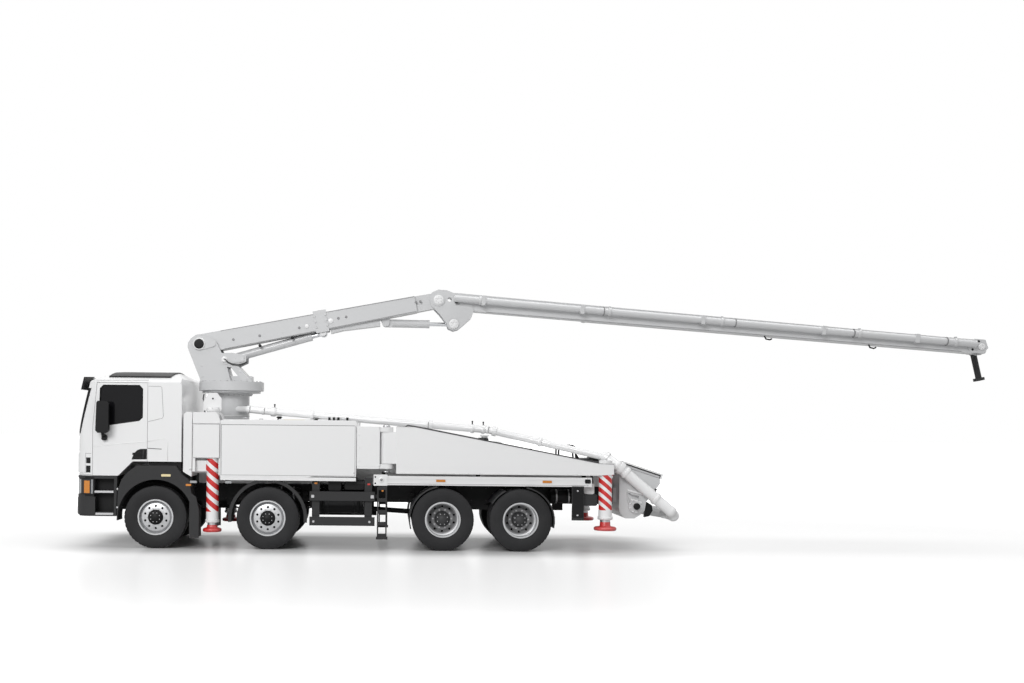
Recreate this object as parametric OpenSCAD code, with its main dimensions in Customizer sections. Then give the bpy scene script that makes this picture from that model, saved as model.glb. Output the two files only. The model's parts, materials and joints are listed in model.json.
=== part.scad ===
// Concrete pump truck on a four-axle carrier, with outriggers, turret and a four-arm boom.
// X runs to the rear, Y to the right side of the truck and Z up from the ground.
// Places along X are counted from the front axle; part_frame() moves them to the middle of the part.

/* [Axles and wheels] */
// Front axle to second axle
axle_2_x = 1940; // [1900:10:1990]
// Front axle to third axle
axle_3_x = 4970; // [4930:10:5000]
// Front axle to fourth axle
axle_4_x = 6320; // [6290:10:6370]
// Outer diameter of every tyre
tyre_d = 1076; // [1040:2:1090]
// Width of every tyre
tyre_w = 315; // [295:5:320]
// Outer diameter of the rim flanges
rim_d = 615; // [600:5:630]
// Middle of a front tyre from the truck's centre line
front_track_y = 1078; // [1070:1:1080]
// Middle of a rear outer tyre from the centre line
rear_track_y = 1058; // [1050:1:1065]
// Distance between the middles of twin tyres
twin_pitch = 330; // [325:1:340]
// Kingpin axis from the centre line
kingpin_y = 930; // [925:1:935]
// Kingpin diameter
kingpin_d = 50; // [40:2:56]
// Diameter of the front wheel spindles
spindle_d = 90; // [80:2:96]
// Diameter of the rear axle ends
rear_spindle_d = 100; // [90:2:110]

/* [Chassis] */
// Underside of the chassis rails above ground
rail_z = 785; // [775:5:800]
// Height of the chassis rails
rail_h = 315; // [300:5:330]
// Outer face of the chassis rails from the centre line
rail_y = 430; // [420:5:440]
// Flange width of the chassis rails
rail_flange = 90; // [80:5:95]
// Thickness of the chassis rails
rail_t = 12; // [8:1:16]
// Rear end of the chassis rails
rail_end_x = 8060; // [8040:5:8080]

/* [Cab] */
// Front of the cab ahead of the front axle
cab_front = 1390; // [1370:5:1400]
// Rear wall of the cab behind the front axle
cab_back = 440; // [430:5:450]
// Half of the cab's width
cab_half_w = 1235; // [1220:5:1240]
// Underside of the cab at the doors
cab_bottom_z = 1250; // [1245:5:1260]
// Underside of the cab behind the doors
cab_step_z = 1500; // [1490:5:1520]
// Foot of the windscreen
screen_z = 2000; // [1980:10:2030]
// Height of the side walls, up to the roof's edge
cab_gutter_z = 2880; // [2870:5:2900]
// Top of the cab's roof
cab_roof_z = 3070; // [3050:5:3080]
// Thickness of the cab walls and doors
cab_wall = 60; // [50:2:70]
// Radius of the cab's front corners
cab_corner_r = 280; // [240:10:285]
// Gap round the doors
door_gap = 6; // [5:1:8]
// Thickness of the glass
glass_t = 12; // [8:1:16]

/* [Body and deck] */
// Front face of the side bodies
body_front_x = 474; // [470:2:490]
// Rear face of the front side bodies
body_back_x = 3460; // [3430:5:3470]
// Outer face of the side bodies from the centre line
body_y = 1240; // [1230:5:1250]
// Inner face of the side bodies
body_inner_y = 640; // [620:10:660]
// Underside of the side bodies
body_z = 1250; // [1240:5:1255]
// Top of the side bodies
body_top_z = 2230; // [2200:10:2260]
// Top of the raised block round the front jacks
block_top_z = 2365; // [2350:5:2380]
// Top of the deck between the rear legs
deck_z = 1820; // [1790:10:1840]
// Thickness of the subframe on the chassis rails
subframe_h = 200; // [190:5:205]

/* [Front outriggers] */
// Jack axis behind the front axle
front_jack_x = 966; // [960:2:972]
// Jack axis from the centre line
front_jack_y = 1105; // [1100:1:1110]
// Outer diameter of the front jack tubes
front_jack_d = 215; // [205:5:220]
// Lower end of the front jack tubes
front_jack_z = 450; // [430:10:480]
// Underside of the front feet when raised
front_foot_z = 290; // [280:5:310]
// Diameter of the front feet
front_foot_d = 320; // [300:5:330]
// Width of the sliding beams
beam_w = 180; // [165:5:185]
// Height of the sliding beams
beam_h = 190; // [170:5:195]
// Wall of the sliding beams and jack tubes
tube_wall = 14; // [8:1:18]
// Sideways stroke of the front outriggers
front_stroke = 1500; // [1300:50:1550]

/* [Rear legs] */
// Hinge axis of the legs behind the front axle
leg_x = 3980; // [3970:2:3990]
// Hinge axis of the legs from the centre line
leg_y = 1085; // [1080:1:1090]
// Thickness of the legs
leg_w = 290; // [270:5:296]
// Height of a leg at its hinge end
leg_h0 = 815; // [790:5:830]
// Height of a leg at its jack end
leg_h1 = 200; // [190:5:230]
// Underside of the legs
leg_z = 1330; // [1320:5:1340]
// Jack axis of the legs behind the front axle
rear_jack_x = 7800; // [7780:5:7820]
// Outer diameter of the rear jack tubes
rear_jack_d = 230; // [220:5:235]
// Lower end of the rear jack tubes
rear_jack_z = 560; // [540:10:600]
// Underside of the rear feet when raised
rear_foot_z = 376; // [366:5:386]
// Diameter of the rear feet
rear_foot_d = 385; // [360:5:390]

/* [Turret and boom] */
// Slewing axis behind the front axle
slew_x = 1120; // [1116:1:1124]
// Diameter of the pedestal
pedestal_d = 655; // [630:5:670]
// Underside of the slewing ring
ring_z = 2730; // [2720:5:2740]
// Radius of the slewing ring
ring_r = 590; // [570:5:595]
// Thickness of the slewing ring
ring_h = 200; // [180:5:210]
// Main pivot behind the front axle
pivot_x = 551; // [546:1:556]
// Main pivot above ground
pivot_z = 3616; // [3606:2:3626]
// Length of the first arm
arm_1_len = 4434; // [4400:2:4460]
// Rise of the first arm in degrees
arm_1_rise = 11.1; // [10.5:0.1:11.5]
// Length of the second arm
arm_2_len = 9958; // [9900:2:10000]
// Fall of the second arm in degrees
arm_2_fall = 4.38; // [4.2:0.02:4.6]
// Length of the third arm
arm_3_len = 7150; // [7000:10:7300]
// Length of the fourth arm
arm_4_len = 7500; // [7300:10:7600]
// Width of the first arm
arm_1_w = 320; // [300:5:330]
// Width of the second arm
arm_2_w = 240; // [220:5:250]
// Width of the third arm
arm_3_w = 170; // [150:5:180]
// Width of the fourth arm
arm_4_w = 130; // [110:5:140]
// Depth of the first arm at its root
arm_1_h0 = 355; // [345:5:360]
// Depth of the first arm at its end
arm_1_h1 = 280; // [270:5:290]
// Depth of the second arm at its root
arm_2_h0 = 310; // [300:5:320]
// Depth of the second arm at its tip
arm_2_h1 = 245; // [235:5:255]
// Diameter of the boom's pivot pins
pin_d = 120; // [100:5:125]
// Outer diameter of the concrete pipe
pipe_d = 125; // [115:5:130]
// Length of the drop pipe at the boom's tip
drop_len = 560; // [500:10:600]
// Lean of the drop pipe from the vertical in degrees
drop_lean = 13; // [0:1:15]
// Outer diameter of the lift cylinder
lift_d = 155; // [140:5:160]
// Outer diameter of the elbow cylinder
elbow_d = 147; // [130:1:150]

/* [Pump and hopper] */
// Front wall of the hopper
hopper_x = 8110; // [8100:5:8130]
// Length of the hopper's mouth
hopper_len = 720; // [690:5:740]
// Half of the hopper's width
hopper_half_w = 760; // [740:10:780]
// Rim of the hopper at its front
hopper_rim_z = 1500; // [1480:5:1520]
// Fall of the hopper's rim in degrees
hopper_fall = 18; // [15:1:20]
// Underside of the hopper
hopper_z = 560; // [540:5:600]
// Wall of the hopper
hopper_wall = 16; // [10:1:20]
// Diameter of the pumping cylinders
pump_d = 230; // [200:5:240]

/* [Hidden] */
$fn = 48;
// Gap between pieces that seat on each other
seat = 0.3;
// Running clearance between moving pieces
run = 5;
// Radial clearance of a pin in its bore
fit = 0.5;
paint = [0.86, 0.87, 0.88];
plastic = [0.16, 0.17, 0.18];
steel_black = [0.07, 0.07, 0.08];
rubber = [0.09, 0.09, 0.09];
silver = [0.72, 0.73, 0.75];
glass = [0.10, 0.12, 0.14, 0.6];
red = [0.72, 0.08, 0.07];

axle_x = [0, axle_2_x, axle_3_x, axle_4_x];
wheel_z = tyre_d / 2;
rim_seat_r = rim_d / 2 - 8;
rail_top = rail_z + rail_h;
subframe_z = rail_top + subframe_h;

function polar(r, a) = [r * cos(a), r * sin(a)];
function along(p, a, d) = p + polar(d, a);

pivot = [pivot_x, pivot_z];
elbow = along(pivot, arm_1_rise, arm_1_len);
tip = along(elbow, -arm_2_fall, arm_2_len);
fold = along(tip, 180 - arm_2_fall, arm_3_len);
nose = along(fold, -arm_2_fall, arm_4_len);
drop_end = along(nose, drop_lean - 90, drop_len);
drop_ring_d = 200;
rear_reach = drop_end[0] + drop_ring_d / 2 * cos(drop_lean);
bumper_proud = 10;
bumper_t = 180;
mid_x = (rear_reach - cab_front - bumper_proud) / 2;

module part_frame() translate([-mid_x, 0, 0]) children();

module both_sides() {
    children();
    mirror([0, 1, 0]) children();
}

// Left as modelled, or mirrored to the right side
module on_side(right) {
    if (right) mirror([0, 1, 0]) children();
    else children();
}

module box(a, b) translate(a) cube(b - a);

// A side view profile (X, Z) made solid from y0 to y1
module side_profile(y0, y1)
    translate([0, y1, 0]) rotate([90, 0, 0]) linear_extrude(y1 - y0) children();

// A front view profile (Y, Z) made solid from x0 to x1
module cross_profile(x0, x1)
    translate([x0, 0, 0]) rotate([90, 0, 90]) linear_extrude(x1 - x0) children();

// A round bar across the truck at p = [x, z]
module cross_bar(p, y0, y1, d)
    translate([p[0], y1, p[1]]) rotate([90, 0, 0]) cylinder(h = y1 - y0, d = d);

// A round bar between two points
module bar(a, b, d) {
    v = b - a;
    translate(a) rotate([0, acos(v[2] / norm(v)), atan2(v[1], v[0])]) cylinder(h = norm(v), d = d);
}

// A tapered box beam along the line p to q in the side view
module beam(p, q, h0, h1, y0, y1) {
    a = atan2(q[1] - p[1], q[0] - p[0]);
    side_profile(y0, y1) polygon([along(p, a + 90, h0 / 2), along(q, a + 90, h1 / 2),
                                  along(q, a - 90, h1 / 2), along(p, a - 90, h0 / 2)]);
}

module ring_sector(r0, r1, a0, a1, y0, y1, steps = 12)
    side_profile(y0, y1) polygon(concat(
        [for (i = [0:steps]) polar(r1, a0 + (a1 - a0) * i / steps)],
        [for (i = [steps:-1:0]) polar(r0, a0 + (a1 - a0) * i / steps)]));

// Chassis
cross_members = [-1000, 1300, 2900, 4180, 5645, 7200, 7950];
rail_front_x = bumper_t - cab_front + seat;
spring_y = rail_y - rail_flange / 2;
spring_w = 84;

module rail()
    difference() {
        box([rail_front_x, -rail_y, rail_z], [rail_end_x, rail_flange - rail_y, rail_top]);
        box([rail_front_x - 1, rail_t - rail_y, rail_z + rail_t],
            [rail_end_x + 1, rail_flange + 1 - rail_y, rail_top - rail_t]);
    }

front_spring_half = 740;
front_spring_eye_z = 690;
spring_eye_d = 56;
bracket_t = 14;

// Pair of plates under a rail that hold one spring eye
module spring_bracket(x)
    for (y = [-spring_y - spring_w / 2 - bracket_t - seat, -spring_y + spring_w / 2 + seat])
        side_profile(y, y + bracket_t)
            polygon([[x - 90, rail_z + 2], [x + 90, rail_z + 2],
                     [x + 34, front_spring_eye_z - 34], [x - 34, front_spring_eye_z - 34]]);

module chassis_frame() color(steel_black) part_frame() {
    both_sides() {
        rail();
        for (x = [axle_x[0], axle_x[1]], s = [-1, 1]) spring_bracket(x + s * front_spring_half);
        rear_saddle();
    }
    for (x = cross_members)
        box([x - 60, rail_t / 2 - rail_y, rail_z + 70], [x + 60, rail_y - rail_t / 2, rail_top - 40]);
    // Mounts of the cab
    both_sides() {
        box([-1120, -rail_y, rail_top - 1], [-1040, rail_flange - rail_y, cab_bottom_z - seat]);
        box([300, -rail_y, rail_top - 1], [380, rail_flange - rail_y, cab_step_z - seat]);
    }
    both_sides()
        for (x = [rail_front_x + 90, 2550, 3000, 3650, 4450, 7300])
            box([x - 30, -rail_y - 150, rail_z + 120], [x + 30, rail_t / 2 - rail_y, rail_z + 180]);
}

bogie_x = (axle_3_x + axle_4_x) / 2;
bogie_top_z = rail_z - 30;
trunnion_d = 110;

// Saddle between a rail and the rear spring pack
module rear_saddle()
    side_profile(-spring_y - spring_w / 2, -spring_y + spring_w / 2)
        polygon([[bogie_x - 170, rail_z + 1], [bogie_x + 170, rail_z + 1],
                 [bogie_x + 120, bogie_top_z], [bogie_x - 120, bogie_top_z]]);

// One curved leaf in the side view: half length, height at middle and ends, thickness
module leaf(x, half, z_mid, z_end, t, steps = 10)
    side_profile(-spring_y - spring_w / 2, -spring_y + spring_w / 2) polygon(concat(
        [for (i = [-steps:steps]) [x + half * i / steps, z_mid + (z_end - z_mid) * pow(i / steps, 2)]],
        [for (i = [steps:-1:-steps])
            [x + half * i / steps, z_mid - t + (z_end - z_mid) * pow(i / steps, 2)]]));

leaf_t = 22;
front_pack_z = wheel_z + 60;

module springs() color(steel_black) part_frame() both_sides() {
    for (x = [axle_x[0], axle_x[1]]) {
        for (i = [0:2])
            leaf(x, front_spring_half * (1 - 0.22 * i), front_pack_z - i * leaf_t,
                 front_pack_z - i * leaf_t
                 + (front_spring_eye_z + 10 - front_pack_z) * pow(1 - 0.22 * i, 2), leaf_t + 0.5);
        for (s = [-1, 1])
            cross_bar([x + s * front_spring_half, front_spring_eye_z],
                      -spring_y - spring_w / 2, -spring_y + spring_w / 2, spring_eye_d);
    }
    for (i = [0:3])
        leaf(bogie_x, (bogie_half + 90) * (1 - 0.2 * i), bogie_top_z - seat - (3 - i) * leaf_t,
             bogie_end_z(i), leaf_t + 0.5);
}

bogie_half = (axle_4_x - axle_3_x) / 2;
rear_tube_d = 150;
bogie_mid_z = bogie_top_z - seat - 3 * leaf_t;
function bogie_end_z(i) = bogie_mid_z + i * leaf_t
    - (bogie_top_z - 3 * leaf_t - wheel_z - rear_tube_d / 2 - 24) * pow(1 - 0.2 * i, 2) * 0.8;

// Underside of the longest rear leaf
function spring_under(x) = bogie_mid_z - leaf_t - 0.5
    + (bogie_end_z(0) - bogie_mid_z) * pow((x - bogie_x) / (bogie_half + 90), 2);

knuckle_half_h = 75;
yoke_t = 42;
beam_z = wheel_z - 75;
front_beam_top = front_pack_z - 3 * leaf_t - 1;

// I-section beam that drops between the springs and rises to the kingpins
module front_axle(x)
    translate([x, 0, 0]) {
        difference() {
            union() {
                cross_profile(-45, 45) polygon([
                    [-kingpin_y, wheel_z - 55], [-kingpin_y, wheel_z + 50],
                    [-kingpin_y + 180, wheel_z + 40], [-620, front_beam_top], [620, front_beam_top],
                    [kingpin_y - 180, wheel_z + 40], [kingpin_y, wheel_z + 50],
                    [kingpin_y, wheel_z - 55], [kingpin_y - 190, wheel_z - 60],
                    [560, beam_z - 20], [-560, beam_z - 20], [190 - kingpin_y, wheel_z - 60]]);
                both_sides() translate([0, -kingpin_y, wheel_z - knuckle_half_h])
                    cylinder(h = 2 * knuckle_half_h, d = kingpin_d + 56);
            }
            both_sides() translate([0, -kingpin_y, wheel_z - 200])
                cylinder(h = 400, d = kingpin_d + 2 * fit);
            for (s = [-1, 1]) translate([s * 52, 0, 0])
                cross_profile(-24, 24) polygon([[-600, beam_z - 2], [600, beam_z - 2],
                                                [640, front_beam_top - 20], [-640, front_beam_top - 20]]);
        }
    }

diff_r = 215;

// Banjo axle: tubes, drum brakes and the differential's bowl
module rear_axle(x)
    translate([x, 0, wheel_z]) {
        rotate([90, 0, 0]) cylinder(h = 1380, d = rear_tube_d, center = true);
        rotate([90, 0, 0]) rotate_extrude() polygon([
            [0, -250], [rear_tube_d / 2 + 15, -250], [diff_r, -110], [diff_r, 110],
            [rear_tube_d / 2 + 15, 250], [0, 250]]);
        both_sides() translate([0, -620, 0]) rotate([90, 0, 0]) cylinder(h = 60, r = 200);
        // Pads under the ends of the springs
        both_sides() side_profile(-spring_y - spring_w / 2, -spring_y + spring_w / 2) polygon([
            [-50, 40], [50, 40], for (d = [50, -50]) [d, spring_under(x + d) - wheel_z - seat - 0.2]]);
        both_sides() translate([0, -670, 0]) rotate([90, 0, 0])
            cylinder(h = rear_track_y - 690, d = rear_spindle_d);
        translate([-330, 0, 0]) rotate([0, 90, 0]) cylinder(h = 200, d = 190);
    }

module axles() color(steel_black) part_frame() {
    front_axle(axle_x[0]);
    front_axle(axle_x[1]);
    rear_axle(axle_x[2]);
    rear_axle(axle_x[3]);
}

spindle_root_y = kingpin_y + kingpin_d / 2 + 28 + 8;

// Yoke with kingpin and wheel spindle, left side
module knuckle(x, right) color(steel_black) part_frame() translate([x, 0, 0]) on_side(right) {
    yoke_h = knuckle_half_h + 2 + yoke_t;
    translate([0, -kingpin_y, wheel_z - yoke_h]) cylinder(h = 2 * yoke_h, d = kingpin_d);
    for (z = [wheel_z - yoke_h, wheel_z + knuckle_half_h + 2]) {
        translate([0, -kingpin_y, z]) cylinder(h = yoke_t, d = kingpin_d + 50);
        box([-45, -spindle_root_y - 30, z], [45, -kingpin_y, z + yoke_t]);
    }
    box([-60, -spindle_root_y - 40, wheel_z - yoke_h], [60, -spindle_root_y, wheel_z + yoke_h]);
    translate([0, -spindle_root_y - 30, wheel_z]) rotate([90, 0, 0])
        cylinder(h = front_track_y + 40 - spindle_root_y, d = spindle_d);
}

bead_half = 0.40 * tyre_w;
flange_t = 12;

// Half of the tyre's cross-section, from bead to tread, as [radius, half width]
function sidewall(steps = 4) = let (r0 = rim_d / 2 + 6, r1 = tyre_d / 2 - 26)
    [for (i = [0:steps]) [r0 + (r1 - r0) * i / steps,
        bead_half + 6 + (tyre_w / 2 - bead_half - 6) * sin(20 + 120 * i / steps)]];
half_tyre = concat([[rim_seat_r + seat, bead_half]], [[rim_d / 2 + 3, bead_half]], sidewall(),
                   [[tyre_d / 2 - 6, tyre_w * 0.44], [tyre_d / 2, tyre_w * 0.38]]);

module tyre(z = 0) translate([0, 0, z]) color(rubber) rotate_extrude($fn = 64) polygon(concat(
    half_tyre, [for (i = [len(half_tyre) - 1:-1:0]) [half_tyre[i][0], -half_tyre[i][1]]]));

// Barrel of a rim with both flanges
module barrel(z = 0) {
    r = rim_seat_r;
    w = bead_half + 1;
    translate([0, 0, z]) rotate_extrude() polygon([
        [r - 14, -w - flange_t], [rim_d / 2, -w - flange_t], [rim_d / 2, -w], [r, -w],
        [r, w], [rim_d / 2, w], [rim_d / 2, w + flange_t], [r - 14, w + flange_t]]);
}

hub_d = 190;
hand_holes = 10;
hand_hole_d = 40;

// Front wheel, its axis along Z and its outer side up
module front_wheel() {
    tyre();
    color(silver) difference() {
        union() {
            barrel();
            rotate_extrude() polygon([
                [hub_d / 2 - 10, 96], [150, 96], [232, 82], [rim_seat_r - 20, 34], [rim_seat_r - 2, 20],
                [rim_seat_r - 2, 40], [rim_seat_r - 18, 54], [240, 98], [156, 114], [hub_d / 2 - 10, 114]]);
            rotate_extrude() polygon([
                [0, -30], [hub_d / 2, -30], [hub_d / 2, 138], [70, 150], [60, 168], [0, 168]]);
        }
        translate([0, 0, -60]) cylinder(h = front_bore_h + 60, d = spindle_d + 2 * fit);
        for (i = [0:hand_holes - 1]) rotate([0, 0, (i + 0.5) * 360 / hand_holes])
            translate([192, 0, 60]) cylinder(h = 80, d = hand_hole_d);
    }
}
front_bore_h = 80;

twin_hub_d = 250;

// Twin wheels on one hub, z = 0 at the middle of the outer tyre
module twin_wheel() {
    tyre();
    tyre(-twin_pitch);
    mate = -twin_pitch / 2;
    color(silver) difference() {
        union() {
            barrel();
            barrel(-twin_pitch);
            rotate_extrude() polygon([
                [120, mate - 14], [190, mate - 14], [245, mate - 60], [rim_seat_r - 2, mate - 70],
                [rim_seat_r - 2, mate - 52], [258, mate - 46], [206, mate],
                [258, mate + 46], [rim_seat_r - 2, mate + 52], [rim_seat_r - 2, mate + 70],
                [245, mate + 60], [190, mate + 14], [120, mate + 14]]);
            rotate_extrude() polygon([
                [0, mate - 130], [twin_hub_d / 2, mate - 130], [twin_hub_d / 2, mate + 60],
                [100, mate + 90], [96, mate + 160], [70, mate + 180], [0, mate + 180]]);
        }
        translate([0, 0, -twin_pitch - 200])
            cylinder(h = rear_bore_h + twin_pitch + 200, d = rear_spindle_d + 2 * fit);
        for (i = [0:hand_holes - 1]) rotate([0, 0, (i + 0.5) * 360 / hand_holes])
            translate([218, 0, mate - 100]) cylinder(h = 200, d = hand_hole_d);
    }
}
rear_bore_h = -20;

module front_wheel_at(x, right) part_frame() on_side(right)
    translate([x, -front_track_y, wheel_z]) rotate([90, 0, 0]) front_wheel();

module twin_wheel_at(x, right) part_frame() on_side(right)
    translate([x, -rear_track_y, wheel_z]) rotate([90, 0, 0]) twin_wheel();

// Cab
roof_camber = cab_roof_z - cab_gutter_z + 10;
roof_r = (pow(cab_half_w, 2) + pow(roof_camber, 2)) / (2 * roof_camber);
door_front_x = -1090;
door_back_x = -150;
cab_sill_x = -650;
cab_step_x = -400;
screen_half_w = 1080;
cab_floor_z = cab_bottom_z + cab_wall;

function cab_side(i) = [
    [35 - cab_front + i, cab_bottom_z + i], [5 - cab_front + i, screen_z - 60],
    [260 - cab_front + i, cab_gutter_z + 20 - i], [430 - cab_front, cab_roof_z - 30 - i],
    [700 - cab_front, cab_roof_z + 1 - i], [cab_back - 240, cab_roof_z + 1 - i],
    [cab_back - 40 - i, cab_gutter_z + 60 - i], [cab_back - i, cab_gutter_z - 60],
    [cab_back - i, cab_step_z + i], [cab_step_x + i / 2, cab_step_z + i],
    [cab_sill_x + i / 2, cab_bottom_z + i]];

// The cab's outer form, drawn in by i on every side
module cab_form(i) {
    intersection() {
        side_profile(-cab_half_w + i, cab_half_w - i) polygon(cab_side(i));
        translate([0, 0, cab_bottom_z - 10]) linear_extrude(cab_roof_z) cab_plan(i);
        cross_profile(-cab_front - 10, cab_back + 10) cab_front_view(i);
    }
}

module cab_plan(i) {
    x = cab_corner_r - cab_front;
    y = cab_half_w - cab_corner_r;
    translate([x, i - cab_half_w]) square([cab_back - i - x, 2 * (cab_half_w - i)]);
    translate([i - cab_front, -y]) square([cab_corner_r - i + 1, 2 * y]);
    for (s = [-1, 1]) translate([x, s * y]) circle(r = cab_corner_r - i + 1.5, $fn = 64);
}

module cab_front_view(i) intersection() {
    translate([i - cab_half_w, cab_bottom_z + i])
        square([2 * (cab_half_w - i), cab_roof_z + 20 - cab_bottom_z]);
    translate([0, cab_roof_z - roof_r - i]) circle(r = roof_r, $fn = 96);
}

// Door outline in the side view, grown by g, its foot at +e
function door_outline(g, e = -1) = [
    [door_front_x - g, cab_bottom_z + e - g], [door_front_x - g, screen_z + 100],
    [door_front_x + 70 - g, cab_gutter_z - 24 + g], [door_back_x + g, cab_gutter_z - 24 + g],
    [door_back_x + g, cab_step_z + e - g], [cab_step_x + g / 2, cab_step_z + e - g],
    [cab_sill_x + g / 2, cab_bottom_z + e - g]];
window_top_z = cab_gutter_z - 66;
function side_window(g) = [
    [-985 - g, 2170], [-970 - g, 2760], [-915, window_top_z + g], [-290, window_top_z + g],
    [-235 + g, window_top_z - 60], [-235 + g, 2260], [-290, 2205 - g], [-925, 2110 - g]];

function screen_outline(g) = [
    [-screen_half_w - g, screen_z + 80], [-screen_half_w + 50, screen_z + 30 - g],
    [screen_half_w - 50, screen_z + 30 - g], [screen_half_w + g, screen_z + 80],
    [screen_half_w - 60 + g, cab_gutter_z - 110], [screen_half_w - 130, cab_gutter_z - 70 + g],
    [130 - screen_half_w, cab_gutter_z - 70 + g], [60 - screen_half_w - g, cab_gutter_z - 110]];

grille_half_w = 800;
grille_z = 1310;
grille_top_z = 1860;

module cab_shell() color(paint) part_frame() difference() {
    cab_form(0);
    cab_form(cab_wall);
    both_sides() side_profile(-cab_half_w - 50, cab_wall - cab_half_w + 0.5)
        polygon(door_outline(door_gap));
    cross_profile(-cab_front - 50, -cab_front + 480) polygon(screen_outline(0));
    box([-cab_front - 50, -grille_half_w, grille_z], [72 - cab_front, grille_half_w, grille_top_z]);
    // Engine tunnel under the floor
    box([-cab_front + 250, -420, cab_bottom_z - 10], [cab_back - 150, 420, cab_bottom_z + 30]);
}

module cab_glass() color(glass) part_frame() intersection() {
    difference() {
        cab_form(16);
        cab_form(16 + glass_t);
    }
    cross_profile(-cab_front - 20, -cab_front + 470) polygon(screen_outline(-seat));
}

mirror_z = 1990;
mirror_top_z = 2540;

// Door with its glass, handle and mirror; hinged on its front edge
module door(right) part_frame() on_side(right) {
    color(paint) difference() {
        side_profile(-cab_half_w, cab_wall - cab_half_w) polygon(door_outline(0, 1));
        side_profile(-cab_half_w - 1, cab_wall - cab_half_w + 1) polygon(side_window(0));
        side_profile(-cab_half_w - 1, 8 - cab_half_w)
            polygon([[-430, 1535], [-150, 1560], [-150, 1590], [-430, 1730]]);
    }
    color(plastic) {
        box([-400, -cab_half_w - 18, 1610], [-190, 10 - cab_half_w, 1650]);
        for (z = [mirror_z + 60, mirror_top_z - 60])
            bar([-1020, 10 - cab_half_w, z], [-900, -cab_half_w - 100, z], 30);
        for (z = [mirror_z + 60, mirror_top_z - 60])
            translate([-900, -cab_half_w - 110, z]) sphere(d = 44);
        difference() {
            side_profile(-cab_half_w - 190, -cab_half_w - 100) polygon([
                [-1000, mirror_z + 40], [-985, mirror_top_z - 30], [-960, mirror_top_z],
                [-800, mirror_top_z - 10], [-775, mirror_top_z - 50], [-775, mirror_z + 40],
                [-810, mirror_z], [-960, mirror_z]]);
            side_profile(-cab_half_w - 180, -cab_half_w - 110)
                polygon([[-950, mirror_z + 50], [-940, mirror_top_z - 50], [-760, mirror_top_z - 60],
                         [-760, mirror_z + 50]]);
        }
    }
    color(glass) side_profile(24 - cab_half_w, 24 + glass_t - cab_half_w) polygon(side_window(-seat));
}

// Seats, dashboard and steering wheel
module cab_interior() color(plastic) part_frame() {
    z = cab_floor_z + seat;
    for (s = [-1, 1]) {
        side_profile(s * 640 - 200, s * 640 + 200)
            polygon([[-600, 1330.6], [-600, 1706.5], [-300, 1717.5], [-300, 1560.3], [-370, 1560.6]]);
        side_profile(s * 640 - 230, s * 640 + 230) polygon([
            [-760, 1700], [-770, 1810], [-740, 1830], [-330, 1800], [-230, 2420], [-130, 2420],
            [-210, 1720]]);
        side_profile(s * 640 - 130, s * 640 + 130)
            polygon([[-226, 2425], [-205, 2610], [-110, 2610], [-130, 2425]]);
        box([-200, s * 640 - 40, 2410], [-160, s * 640 + 40, 2440]);
    }
    side_profile(-cab_half_w + cab_wall + 60, cab_half_w - cab_wall - 60)
        polygon([[-1240, 1500], [-1240, 1950], [-1100, 1960], [-1010, 1900], [-1030, 1640], [-1120, 1500]]);
    for (s = [-1, 1]) box([-1240, s * 700 - 60, z], [-1140, s * 700 + 60, 1510]);
    bar([-1060, -640, 1860], [-900, -640, 2010], 60);
    translate([-885, -640, 2024]) rotate([0, 47, 0]) {
        rotate_extrude() translate([215, 0]) circle(d = 32, $fn = 24);
        for (a = [90, 210, 330]) rotate([0, 0, a]) translate([0, -16, -8]) cube([212, 32, 16]);
        translate([0, 0, -30]) cylinder(h = 50, d = 110);
    }
}

// Visor over the windscreen, roof edge and wiper beam
module cab_trim() color(plastic) part_frame() {
    visor();
    intersection() {
        difference() {
            translate([0, 0, 26]) cab_form(0);
            translate([0, 0, 0.3]) cab_form(0);
        }
        box([-900, -920, cab_gutter_z + 60], [180, 920, cab_roof_z + 60]);
    }
}

module visor() {
    intersection() {
        difference() {
            cab_form(-95);
            cab_form(-80);
        }
        box([-cab_front - 200, -cab_half_w - 60, cab_gutter_z - 150],
            [-1060, cab_half_w + 60, cab_gutter_z + 70]);
    }
    difference() {
        intersection() {
            for (y = [-900, 900])
                box([-cab_front - 100, y - 15, cab_gutter_z - 40], [300 - cab_front, y + 15, cab_gutter_z - 24]);
            cab_form(-88);
        }
        cab_form(-seat);
    }
}

module grille() color(steel_black) part_frame() {
    x = 72 - cab_front;
    difference() {
        box([x - 60, -grille_half_w + seat, grille_z + seat], [x - 34, grille_half_w - seat, grille_top_z - seat]);
        box([x - 61, -grille_half_w + 40, grille_z + 40], [x - 33, grille_half_w - 40, grille_top_z - 40]);
    }
    box([x - 34.5, -grille_half_w + 2, grille_z + 2], [x - seat - 15, grille_half_w - 2, grille_top_z - 2]);
    for (i = [0:4]) translate([x - 34, 0, grille_z + 90 + i * 96]) rotate([0, 20, 0])
        translate([-30, -grille_half_w + 30, -8]) cube([36, 2 * grille_half_w - 60, 14]);
}

// Lower cab, mudguards and engine
bumper_z = 550;
bumper_top_z = cab_bottom_z - 4;
bumper_back_x = -655;
step_x = -1060;

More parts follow.
